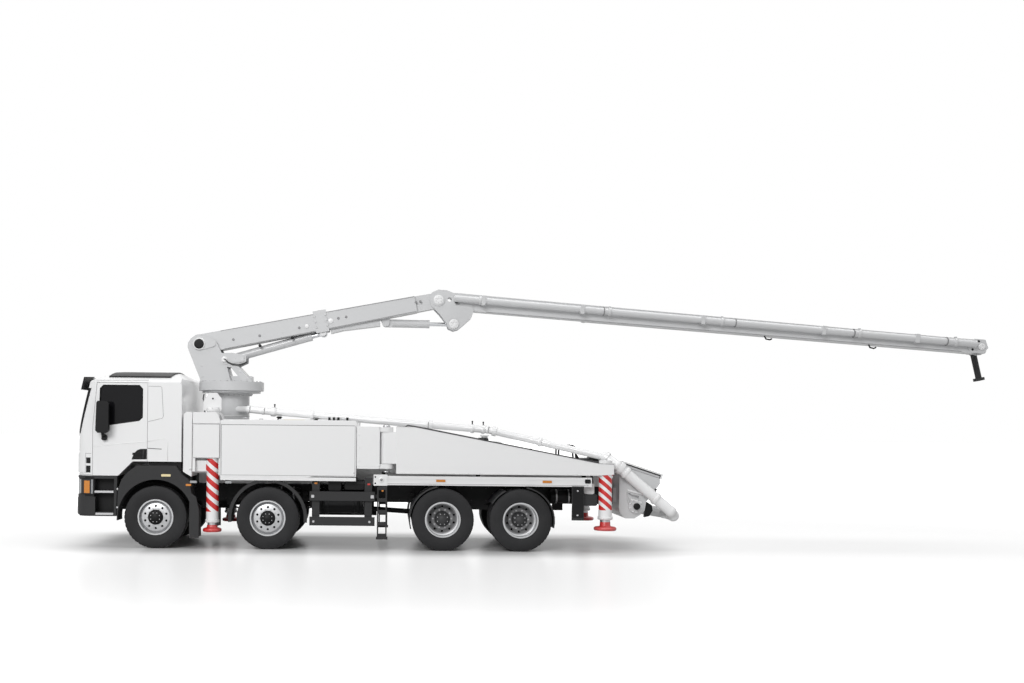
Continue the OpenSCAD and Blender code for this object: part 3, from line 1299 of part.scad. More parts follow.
module arm_3() color(paint) part_frame() {
    a = 180 - arm_2_fall;
    difference() {
        union() {
            beam(tip, fold, 220, 190, arm_3_y0, arm_3_y0 + arm_3_w);
            cross_bar(tip, arm_3_y0, arm_3_y0 + arm_3_w, 230);
            cross_bar(fold, arm_3_y0, arm_3_y0 + arm_3_w, 210);
        }
        cross_bar(tip, arm_3_y0 - 1, arm_3_y0 + arm_3_w + 1, tip_pin_d + 2 * fit);
    }
    cross_bar(fold, arm_3_y0 + arm_3_w - 1, arm_4_y0 + arm_4_w + 12, fold_pin_d);
    bar(concat3(along(tip, a, 350), pipe_3_y), concat3(along(fold, a + 180, 300), pipe_3_y), pipe_3_d);
    for (t = [500, 2500, 4500, 6500])
        beam(along(tip, a, t), along(tip, a, t + 60), pipe_3_d + 20, pipe_3_d + 20, arm_3_y0 + arm_3_w - 10, pipe_3_y + 20);
}
fold_pin_d = 80;

module arm_4() color(paint) part_frame() {
    a = -arm_2_fall;
    difference() {
        union() {
            beam(fold, nose, 180, 130, arm_4_y0, arm_4_y0 + arm_4_w);
            cross_bar(fold, arm_4_y0, arm_4_y0 + arm_4_w, 200);
            cross_bar(nose, arm_4_y0, arm_4_y0 + arm_4_w, 150);
        }
        cross_bar(fold, arm_4_y0 - 1, arm_4_y0 + arm_4_w + 1, fold_pin_d + 2 * fit);
    }
    // The pipe turns through the arm's end to the drop pipe
    cross_bar(nose, pipe_4_y - pipe_3_d / 2 - 6, arm_4_y0 + arm_4_w + 25, pipe_3_d + 12);
    cross_bar(nose, arm_4_y0, drop_y + pipe_3_d / 2 + 20, nose_pin_d);
    bar(concat3(along(fold, a, 300), pipe_4_y), concat3(nose, pipe_4_y), pipe_3_d);
    for (t = [500, 2500, 4500, 6500])
        beam(along(fold, a, t), along(fold, a, t + 60), pipe_3_d + 16, pipe_3_d + 16, pipe_4_y - 20, arm_4_y0 + 10);
}
nose_pin_d = 50;
drop_gap = 42;
drop_y = arm_4_y0 + arm_4_w + drop_gap + 65;

module drop_pipe() part_frame() {
    color(rubber) difference() {
        union() {
            cross_bar(nose, drop_y - 65, drop_y + 65, pipe_3_d + 20);
            bar(concat3(along(nose, drop_lean - 90, 40), drop_y), concat3(along(drop_end, drop_lean + 90, 30), drop_y),
                pipe_3_d);
        }
        cross_bar(nose, drop_y - 100, drop_y + 100, nose_pin_d + 2 * fit);
    }
    color(paint) bar(concat3(along(drop_end, drop_lean + 90, 50), drop_y), concat3(drop_end, drop_y), drop_ring_d);
}

// Cylinder barrel from its base pin towards the rod's eye; pin_d is 0 where the pin is its own
module cylinder_barrel(base, top, len, d, rod_d, pin_d, eye_w, neck = 20) {
    a = atan2(top[1] - base[1], top[0] - base[0]);
    difference() {
        union() {
            cross_bar(base, -eye_w, eye_w, d - 6);
            if (neck > 50) beam(base, along(base, a, neck + 1), d - 6, d - 6, -eye_w, eye_w);
            bar(concat3(along(base, a, neck), 0), concat3(along(base, a, len), 0), d);
            bar(concat3(along(base, a, len - 60), 0), concat3(along(base, a, len), 0), d + 4);
        }
        bar(concat3(along(base, a, 130), 0), concat3(along(base, a, len + 1), 0), rod_d + 2 * fit);
        if (pin_d > 0) cross_bar(base, -200, 200, pin_d + 2 * fit);
    }
}

module cylinder_rod(base, top, len, rod_d) {
    a = atan2(base[1] - top[1], base[0] - top[0]);
    difference() {
        union() {
            bar(concat3(along(top, a, open_bore_d / 2 + 6), 0), concat3(along(top, a, len), 0), rod_d);
            cross_bar(top, -eye_half, eye_half, open_eye_d);
        }
        cross_bar(top, -eye_half - 1, eye_half + 1, open_bore_d);
    }
}

lift_rod_d = 90;
elbow_rod_d = 70;
lift_barrel_len = 1640;
elbow_barrel_len = 800;

module lift_barrel() color(paint) part_frame()
    cylinder_barrel(lift_base, lift_top, lift_barrel_len, lift_d, lift_rod_d, lift_pin_d, 100);
module lift_rod() color(silver) part_frame() cylinder_rod(lift_base, lift_top, 1500, lift_rod_d);
module elbow_barrel() color(paint) part_frame() {
    cylinder_barrel(elbow_base, elbow_top, elbow_barrel_len, elbow_d, elbow_rod_d, 0, eye_half, 120);
    cross_bar(elbow_base, -eye_half - 6 - lug_t, eye_half + 6 + lug_t, elbow_pin_d);
}
module elbow_rod() color(silver) part_frame() cylinder_rod(elbow_base, elbow_top, 900, elbow_rod_d);

chassis_frame();
springs();
axles();
engine_block();
knuckle(axle_x[0], false);  // knuckle_1_left
knuckle(axle_x[0], true);  // knuckle_1_right
knuckle(axle_x[1], false);  // knuckle_2_left
knuckle(axle_x[1], true);  // knuckle_2_right
front_wheel_at(axle_x[0], false);  // wheel_1_left
front_wheel_at(axle_x[0], true);  // wheel_1_right
front_wheel_at(axle_x[1], false);  // wheel_2_left
front_wheel_at(axle_x[1], true);  // wheel_2_right
twin_wheel_at(axle_x[2], false);  // wheel_3_left
twin_wheel_at(axle_x[2], true);  // wheel_3_right
twin_wheel_at(axle_x[3], false);  // wheel_4_left
twin_wheel_at(axle_x[3], true);  // wheel_4_right
cab_shell();
cab_glass();
cab_interior();
cab_trim();
grille();
door(false);  // door_left
door(true);  // door_right
front_bumper();
lamps();
mudguards();
subframe();
side_bodies();
deck();
side_guards();
tanks();
front_outrigger(false);  // outrigger_front_left
front_outrigger(true);  // outrigger_front_right
rear_leg(false);  // outrigger_rear_left
rear_leg(true);  // outrigger_rear_right
jack(front_jack_x, front_jack_y, front_foot_z, front_foot_d, front_ram_d, 1900, false);  // jack_front_left
jack(front_jack_x, front_jack_y, front_foot_z, front_foot_d, front_ram_d, 1900, true);  // jack_front_right
jack(rear_jack_x, leg_y, rear_foot_z, rear_foot_d, rear_ram_d, 1400, false);  // jack_rear_left
jack(rear_jack_x, leg_y, rear_foot_z, rear_foot_d, rear_ram_d, 1400, true);  // jack_rear_right
hopper();
hopper_grate();
hopper_lid();
pump_cylinders();
delivery_pipe();
turret();
lift_barrel();
lift_rod();
arm_1();
elbow_barrel();
elbow_rod();
arm_2();
arm_3();
arm_4();
drop_pipe();
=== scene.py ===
"""Looks of a four-axle concrete pump truck: finishes, wheels, fittings, light and camera."""

import json
import logging
import math
from collections.abc import Callable, Iterable, Sequence
from dataclasses import dataclass
from enum import Enum

import bmesh
import bpy
from mathutils import Matrix, Vector

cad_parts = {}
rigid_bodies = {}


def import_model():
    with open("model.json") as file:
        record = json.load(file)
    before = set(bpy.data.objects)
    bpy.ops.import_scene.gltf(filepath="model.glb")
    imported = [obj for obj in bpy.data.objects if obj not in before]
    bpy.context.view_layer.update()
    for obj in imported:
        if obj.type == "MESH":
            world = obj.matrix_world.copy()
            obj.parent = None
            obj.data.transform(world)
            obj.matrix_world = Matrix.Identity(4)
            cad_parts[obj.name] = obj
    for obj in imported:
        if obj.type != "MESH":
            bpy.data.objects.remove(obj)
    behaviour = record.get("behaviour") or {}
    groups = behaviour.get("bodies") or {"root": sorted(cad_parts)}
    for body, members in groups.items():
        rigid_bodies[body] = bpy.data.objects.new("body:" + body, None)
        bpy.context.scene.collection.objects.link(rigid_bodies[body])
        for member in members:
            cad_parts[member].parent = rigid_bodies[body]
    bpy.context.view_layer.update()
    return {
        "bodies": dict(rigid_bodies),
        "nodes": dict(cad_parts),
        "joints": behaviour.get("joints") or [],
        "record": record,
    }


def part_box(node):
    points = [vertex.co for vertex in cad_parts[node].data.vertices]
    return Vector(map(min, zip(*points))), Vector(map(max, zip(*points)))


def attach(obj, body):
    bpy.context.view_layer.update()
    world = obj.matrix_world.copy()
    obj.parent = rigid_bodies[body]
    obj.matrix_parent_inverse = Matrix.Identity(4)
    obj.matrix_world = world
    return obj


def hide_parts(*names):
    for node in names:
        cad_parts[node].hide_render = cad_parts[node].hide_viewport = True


log = logging.getLogger("pump_truck")

Colour = tuple[float, float, float]
Point = tuple[float, float, float]
Flat = tuple[float, float]
LEFT: Point = (0.0, -1.0, 0.0)
RIGHT: Point = (0.0, 1.0, 0.0)
UP: Point = (0.0, 0.0, 1.0)
BACK: Point = (1.0, 0.0, 0.0)
SIDES = (("left", -1.0), ("right", 1.0))
AXLES = (0.0, 1.94, 4.97, 6.32)
TWIN_AXLES = (3, 4)
BAND_RED: Colour = (0.56, 0.016, 0.016)
BAND_WHITE: Colour = (0.80, 0.80, 0.805)


# Shader maths


class Sock:
    """An output socket, or a plain number, that takes part in arithmetic."""

    def __init__(self, nodes: "Tree", value: "bpy.types.NodeSocket | float") -> None:
        """Wraps a value.

        Args:
            nodes: The builder whose tree holds the value.
            value: An output socket or a number.
        """
        self.nodes = nodes
        self.value = value

    def _math(self, operation: str, *values: "Sock | float") -> "Sock":
        """Adds one Math node.

        Args:
            operation: The node's operation.
            values: Its inputs in order.

        Returns:
            The node's output.
        """
        return self.nodes.add("ShaderNodeMath", {"operation": operation}, dict(enumerate(values)))

    def __add__(self, other: "Sock | float") -> "Sock":
        """Adds two values."""
        return self._math("ADD", self, other)

    def __radd__(self, other: float) -> "Sock":
        """Adds from the left."""
        return self._math("ADD", other, self)

    def __sub__(self, other: "Sock | float") -> "Sock":
        """Subtracts a value."""
        return self._math("SUBTRACT", self, other)

    def __rsub__(self, other: float) -> "Sock":
        """Subtracts from a number."""
        return self._math("SUBTRACT", other, self)

    def __mul__(self, other: "Sock | float") -> "Sock":
        """Multiplies two values."""
        return self._math("MULTIPLY", self, other)

    def __truediv__(self, other: "Sock | float") -> "Sock":
        """Divides by a value."""
        return self._math("DIVIDE", self, other)

    def __gt__(self, other: "Sock | float") -> "Sock":
        """Is 1 where this is greater."""
        return self._math("GREATER_THAN", self, other)

    def __lt__(self, other: "Sock | float") -> "Sock":
        """Is 1 where this is less."""
        return self._math("LESS_THAN", self, other)

    def fraction(self) -> "Sock":
        """Keeps the part after the point."""
        return self._math("FRACT", self)

    def absolute(self) -> "Sock":
        """Drops the sign."""
        return self._math("ABSOLUTE", self)

    def ramp(self, low: float, high: float) -> "Sock":
        """Rises smoothly from 0 at low to 1 at high.

        Args:
            low: Value that gives 0.
            high: Value that gives 1.

        Returns:
            The smooth step.
        """
        smooth = {"interpolation_type": "SMOOTHSTEP"}
        return self.nodes.add("ShaderNodeMapRange", smooth, {0: self, 1: low, 2: high})

    def beside(self, output: str) -> "Sock":
        """Gives another output of the same node."""
        return Sock(self.nodes, self.value.node.outputs[output])


class Tree:
    """Adds nodes to a node tree."""

    def __init__(self, tree: bpy.types.NodeTree) -> None:
        """Keeps the tree.

        Args:
            tree: The tree that grows.
        """
        self.tree = tree

    def add(self, kind: str, settings: dict[str, object], inputs: dict[int | str, object],
            output: int | str = 0) -> Sock:
        """Adds a node.

        Args:
            kind: The node's type name.
            settings: Its properties, set first.
            inputs: Values or links by socket number or name.
            output: Which output to return.

        Returns:
            The chosen output.
        """
        node = self.tree.nodes.new(kind)
        for key, value in settings.items():
            setattr(node, key, value)
        for key, value in inputs.items():
            socket = node.inputs[key]
            if isinstance(value, Sock):
                value = value.value
            if isinstance(value, bpy.types.NodeSocket):
                self.tree.links.new(value, socket)
            elif isinstance(value, tuple) and len(value) == 3 and socket.type == "RGBA":
                socket.default_value = (*value, 1.0)
            else:
                socket.default_value = value
        return Sock(self, node.outputs[output])

    def end(self, kind: str, last: Sock) -> None:
        """Joins the last output to an output node of a kind."""
        self.tree.links.new(last.value, self.tree.nodes.new(kind).inputs[0])


class Nodes(Tree):
    """Builds one material's node tree."""

    def __init__(self, name: str) -> None:
        """Makes an empty material.

        Args:
            name: The material's name.
        """
        self.material = bpy.data.materials.new(name)
        self.material.use_nodes = True
        super().__init__(self.material.node_tree)
        self.tree.nodes.clear()

    def place(self, scale: Point = (1.0, 1.0, 1.0)) -> Sock:
        """Gives the object coordinates, scaled along each axis."""
        place = self.add("ShaderNodeTexCoord", {}, {}, "Object")
        return self.add("ShaderNodeMapping", {}, {"Vector": place, "Scale": scale})

    def axis(self, name: str) -> Sock:
        """Gives one object coordinate, X, Y or Z."""
        return self.add("ShaderNodeSeparateXYZ", {}, {0: self.place()}, name)

    def noise(self, scale: float, detail: float = 3.0, vector: Sock | None = None) -> Sock:
        """Adds a noise.

        Args:
            scale: Waves per metre.
            detail: Octaves.
            vector: Where it is read, or the object coordinates.

        Returns:
            The noise, about 0.5.
        """
        inputs = {"Vector": vector or self.place(), "Scale": scale, "Detail": detail}
        return self.add("ShaderNodeTexNoise", {}, inputs)

    def mix(self, factor: Sock | float, a: Sock | Colour, b: Sock | Colour) -> Sock:
        """Mixes two colours.

        Args:
            factor: 0 for a and 1 for b.
            a: First colour.
            b: Second colour.

        Returns:
            The mixed colour.
        """
        return self.add("ShaderNodeMix", {"data_type": "RGBA"}, {0: factor, 6: a, 7: b}, 2)

    def bump(self, height: Sock, distance: float) -> Sock:
        """Turns a height into a normal.

        Args:
            height: The height, 0 to 1.
            distance: Height of 1 in metres.

        Returns:
            The normal.
        """
        inputs = {"Height": height, "Distance": distance, "Strength": 1.0}
        return self.add("ShaderNodeBump", {}, inputs, "Normal")

    def finish(self, shader: Sock) -> bpy.types.Material:
        """Joins a shader to the output.

        Args:
            shader: The shader's output.

        Returns:
            The finished material.
        """
        self.end("ShaderNodeOutputMaterial", shader)
        return self.material

    def surface(self, inputs: dict[str, object]) -> bpy.types.Material:
        """Ends the tree in a Principled shader.

        Args:
            inputs: The shader's values and links by name.

        Returns:
            The finished material.
        """
        return self.finish(self.add("ShaderNodeBsdfPrincipled", {}, inputs))


# Finishes


@dataclass(frozen=True)
class Paint:
    """Sprayed paint with a clear coat, faint orange peel and road dust low down."""

    name: str
    colour: Colour
    dust: Colour = (0.62, 0.61, 0.59)
    dust_top: float = 1.6
    rough: float = 0.34
    coat: float = 0.35

    def material(self) -> bpy.types.Material:
        """Builds the paint.

        Returns:
            The material.
        """
        nodes = Nodes(self.name)
        cloud = nodes.noise(1.7, 4.0)
        low = 1.0 - nodes.axis("Z").ramp(0.3, self.dust_top)
        film = low * cloud.ramp(0.35, 0.8) * 0.22
        shade = nodes.mix(nodes.noise(0.6, 2.0), self.colour, tuple(c * 0.975 for c in self.colour))
        peel = nodes.noise(260.0, 2.0)
        return nodes.surface({
            "Base Color": nodes.mix(film, shade, self.dust),
            "Roughness": self.rough + film * 0.8 + (cloud - 0.5) * 0.06,
            "Coat Weight": self.coat,
            "Coat Roughness": 0.12,
            "Normal": nodes.bump(peel, 0.00008),
        })


@dataclass(frozen=True)
class Plastic:
    """Moulded plastic with a fine grain."""

    name: str
    colour: Colour
    rough: float = 0.5
    grain: float = 900.0

    def material(self) -> bpy.types.Material:
        """Builds the plastic.

        Returns:
            The material.
        """
        nodes = Nodes(self.name)
        grain = nodes.noise(self.grain, 2.0)
        cloud = nodes.noise(2.2, 3.0)
        low = 1.0 - nodes.axis("Z").ramp(0.2, 1.1)
        dusty = tuple(min(1.0, c + 0.012) for c in self.colour)
        return nodes.surface({
            "Base Color": nodes.mix(low * cloud * 0.6, self.colour, dusty),
            "Roughness": self.rough + (cloud - 0.5) * 0.12 + low * 0.1,
            "Specular IOR Level": 0.16,
            "Normal": nodes.bump(grain, 0.00012),
        })


@dataclass(frozen=True)
class Rubber:
    """Tyre or hose rubber with a fine grain and a thin film of dust."""

    name: str
    colour: Colour = (0.017, 0.017, 0.018)
    rough: float = 0.66

    def material(self) -> bpy.types.Material:
        """Builds the rubber.

        Returns:
            The material.
        """
        nodes = Nodes(self.name)
        grain = nodes.noise(420.0, 3.0)
        cloud = nodes.noise(3.0, 4.0)
        grey = tuple(c * 1.6 + 0.006 for c in self.colour)
        return nodes.surface({
            "Base Color": nodes.mix(cloud.ramp(0.3, 0.85) * 0.55, self.colour, grey),
            "Roughness": self.rough + (cloud - 0.5) * 0.16,
            "Specular IOR Level": 0.22,
            "Normal": nodes.bump(grain, 0.00025),
        })


@dataclass(frozen=True)
class Metal:
    """Bare, plated or cast metal with fine brushing."""

    name: str
    colour: Colour
    rough: float = 0.3
    metallic: float = 1.0
    brush: Point = (30.0, 30.0, 400.0)

    def material(self) -> bpy.types.Material:
        """Builds the metal.

        Returns:
            The material.
        """
        nodes = Nodes(self.name)
        line = nodes.noise(1.0, 4.0, nodes.place(self.brush))
        cloud = nodes.noise(5.0, 3.0)
        dark = tuple(c * 0.8 for c in self.colour)
        return nodes.surface({
            "Base Color": nodes.mix(cloud * 0.5, self.colour, dark),
            "Roughness": self.rough + (line - 0.5) * 0.18 + (cloud - 0.5) * 0.1,
            "Metallic": self.metallic,
            "Normal": nodes.bump(line, 0.00006),
        })


@dataclass(frozen=True)
class Stripes:
    """Red bands that fall to the right round a white jack tube, with a plain lower end."""

    name: str
    red: Colour
    white: Colour
    top: float
    bottom: float
    bands: int
    centre_x: float
    slope: float = 0.85

    def material(self) -> bpy.types.Material:
        """Builds the banded paint, in red where the bands run.

        Returns:
            The material.
        """
        nodes = Nodes(self.name)
        across = nodes.axis("X") - self.centre_x
        pitch = (self.top - self.bottom) / self.bands
        phase = ((nodes.axis("Z") - self.bottom + across * self.slope) / pitch).fraction()
        inside = (nodes.axis("Z") > self.bottom) * (nodes.axis("Z") < self.top)
        band = (phase > 0.45) * inside
        cloud = nodes.noise(2.0, 4.0)
        return nodes.surface({
            "Base Color": nodes.mix(band, self.white, self.red),
            "Roughness": 0.36 + (cloud - 0.5) * 0.12,
            "Coat Weight": 0.2,
            "Coat Roughness": 0.15,
            "Normal": nodes.bump(nodes.noise(240.0, 2.0), 0.00008),
        })


@dataclass(frozen=True)
class Glass:
    """Dark tinted glass that still mirrors the studio."""

    name: str
    colour: Colour = (0.006, 0.006, 0.007)
    rough: float = 0.06

    def material(self) -> bpy.types.Material:
        """Builds the glass.

        Returns:
            The material.
        """
        nodes = Nodes(self.name)
        cloud = nodes.noise(4.0, 3.0)
        return nodes.surface({
            "Base Color": nodes.mix(cloud * 0.4, self.colour, tuple(c * 1.5 for c in self.colour)),
            "Roughness": self.rough + cloud * 0.05,
            "Specular IOR Level": 0.2,
        })


@dataclass(frozen=True)
class Lens:
    """Ribbed lamp lens over a bright reflector."""

    name: str
    colour: Colour
    rib: float = 90.0
    rough: float = 0.16

    def material(self) -> bpy.types.Material:
        """Builds the lens.

        Returns:
            The material.
        """
        nodes = Nodes(self.name)
        rib = ((nodes.axis("Z") * self.rib).fraction() - 0.5).absolute() * 2.0
        dark = tuple(c * 0.72 for c in self.colour)
        return nodes.surface({
            "Base Color": nodes.mix(rib * 0.6, self.colour, dark),
            "Roughness": self.rough + rib * 0.08,
            "Coat Weight": 0.7,
            "Coat Roughness": 0.05,
            "Normal": nodes.bump(rib, 0.0006),
        })


class Finish(Enum):
    """The finishes of the truck, by the record's slot that each belongs to."""

    WHITE = ("white_paint", Paint("white paint", (0.76, 0.762, 0.765)))
    # Grey paint of the boom, also used as painted shade on white parts in shadow, the pedestal and the hopper
    GREY_AND_SHADE = ("white_paint", Paint("grey paint and painted shade", (0.55, 0.555, 0.562), rough=0.36))
    PIPE = ("white_paint", Paint("pipe paint", (0.54, 0.545, 0.55), rough=0.36, coat=0.2))
    SEAM = ("black_plastic", Plastic("seam sealer", (0.22, 0.22, 0.225), 0.6))
    CHASSIS = ("chassis_black", Plastic("chassis paint", (0.010, 0.010, 0.0105), 0.5, 300.0))
    RUBBER = ("tyre_rubber", Rubber("tyre rubber"))
    HOSE = ("hose_rubber", Rubber("hose rubber", (0.035, 0.035, 0.036), 0.55))
    DARK = ("dark_plastic", Plastic("dark grey plastic", (0.034, 0.034, 0.035), 0.52))
    BLACK = ("black_plastic", Plastic("black plastic", (0.009, 0.009, 0.0095), 0.42))
    GLASS = ("tinted_glass", Glass("tinted glass"))
    LAMP = ("lamp_lens", Lens("headlamp lens", (0.34, 0.35, 0.36)))
    AMBER = ("lamp_lens", Lens("amber lens", (0.62, 0.21, 0.012), 60.0))
    PALE_AMBER = ("lamp_lens", Lens("pale amber lens", (0.80, 0.68, 0.38), 60.0))
    RED_LENS = ("lamp_lens", Lens("red lens", (0.55, 0.02, 0.015), 60.0))
    RED = ("jack_steel", Paint("foot red paint", BAND_RED, rough=0.3))
    RIM = ("tank_aluminium", Metal("rim silver", (0.56, 0.565, 0.575), 0.36, 0.55))
    # Grey metal for nuts and caps, also the twin wheels' silver disc as painted shade in its recess
    GREY_METAL_AND_SHADE = ("tank_aluminium", Metal("grey metal and painted shade", (0.23, 0.23, 0.235), 0.42, 0.35))
    CAP = ("dark_plastic", Plastic("hub cap grey", (0.05, 0.05, 0.052), 0.38))
    CHROME = ("chromed_rod", Metal("chromed rod", (0.72, 0.73, 0.75), 0.12))
    TANK = ("tank_aluminium", Metal("dark tank", (0.030, 0.030, 0.031), 0.40))
    STEEL = ("bare_steel", Metal("zinc steel", (0.50, 0.50, 0.51), 0.38))

    def __init__(self, slot: str, recipe: "Paint | Plastic | Rubber | Metal | Glass | Lens") -> None:
        """Keeps the slot and the recipe.

        Args:
            slot: The record's slot name.
            recipe: What builds the material.
        """
        self.slot = slot
        self.recipe = recipe

    @property
    def material(self) -> bpy.types.Material:
        """The material, built on first use."""
        return bpy.data.materials.get(self.recipe.name) or self.recipe.material()


# Mesh tools


def add_object(name: str, data: bpy.types.ID) -> bpy.types.Object:
    """Makes an object and links it to the scene.

    Args:
        name: Its name.
        data: Its mesh, lamp or camera.

    Returns:
        The object.
    """
    made = bpy.data.objects.new(name, data)
    bpy.context.scene.collection.objects.link(made)
    return made


class Shape(Enum):
    """What a repeat sets out."""

    BLOCK = "GeometryNodeMeshCube"
    BOLT = "GeometryNodeMeshCylinder"


@dataclass(frozen=True)
class Repeat:
    """Like small pieces that Geometry Nodes set round the Z axis, or along a line from the origin."""

    name: str
    shape: Shape
    count: int
    size: Point
    radius: float = 0.0
    step: Point = (0.0, 0.0, 0.0)
    sides: int = 6

    def _group(self) -> bpy.types.NodeTree:
        """Builds the tree, with a named input for each size.

        Returns:
            The node group.
        """
        group = bpy.data.node_groups.new(self.name, "GeometryNodeTree")
        kinds = {
            "Count": "NodeSocketInt", "Sides": "NodeSocketInt", "Radius": "NodeSocketFloat",
            "Size": "NodeSocketVector", "Step": "NodeSocketVector", "Material": "NodeSocketMaterial",
        }
        for name, kind in kinds.items():
            group.interface.new_socket(name=name, in_out="INPUT", socket_type=kind)
        group.interface.new_socket(name="Geometry", in_out="OUTPUT", socket_type="NodeSocketGeometry")
        tree = Tree(group)
        given = group.nodes.new("NodeGroupInput")
        value = {name: Sock(tree, given.outputs[name]) for name in kinds}
        if self.radius:
            circle_inputs = {"Vertices": value["Count"], "Radius": value["Radius"]}
            places = tree.add("GeometryNodeMeshCircle", {}, circle_inputs)
            outward = tree.add("GeometryNodeInputPosition", {}, {})
            turn = tree.add("FunctionNodeAlignRotationToVector", {"axis": "X"}, {"Vector": outward})
        else:
            places = tree.add("GeometryNodeMeshLine", {}, {"Count": value["Count"], "Offset": value["Step"]})
            turn = None
        if self.shape is Shape.BLOCK:
            one = tree.add(self.shape.value, {}, {"Size": value["Size"]})
        else:
            wide = tree.add("ShaderNodeSeparateXYZ", {}, {0: value["Size"]}, "X")
            inputs = {"Vertices": value["Sides"], "Radius": wide * 0.5, "Depth": wide.beside("Z")}
            one = tree.add(self.shape.value, {}, inputs)
        setting = {"Points": places, "Instance": one}
        if turn:
            setting["Rotation"] = turn
        spread = tree.add("GeometryNodeInstanceOnPoints", {}, setting)
        real = tree.add("GeometryNodeRealizeInstances", {}, {0: spread})
        dressed = tree.add("GeometryNodeSetMaterial", {}, {"Geometry": real, "Material": value["Material"]})
        tree.end("NodeGroupOutput", dressed)
        return group

    def mesh(self, finish: Finish) -> bpy.types.Mesh:
        """Evaluates the tree.

        Args:
            finish: The pieces' finish.

        Returns:
            A plain mesh.
        """
        group = self._group()
        maker = add_object(self.name, bpy.data.meshes.new(self.name))
        modifier = maker.modifiers.new("repeat", "NODES")
        modifier.node_group = group
        values = {"Count": self.count, "Sides": self.sides, "Radius": self.radius, "Size": self.size,
                  "Step": self.step, "Material": finish.material}
        for item in group.interface.items_tree:
            if item.in_out == "INPUT":
                modifier[item.identifier] = values[item.name]
        graph = bpy.context.evaluated_depsgraph_get()
        result = bpy.data.meshes.new_from_object(maker.evaluated_get(graph))
        maker.modifiers.clear()
        bpy.data.objects.remove(maker)
        return result


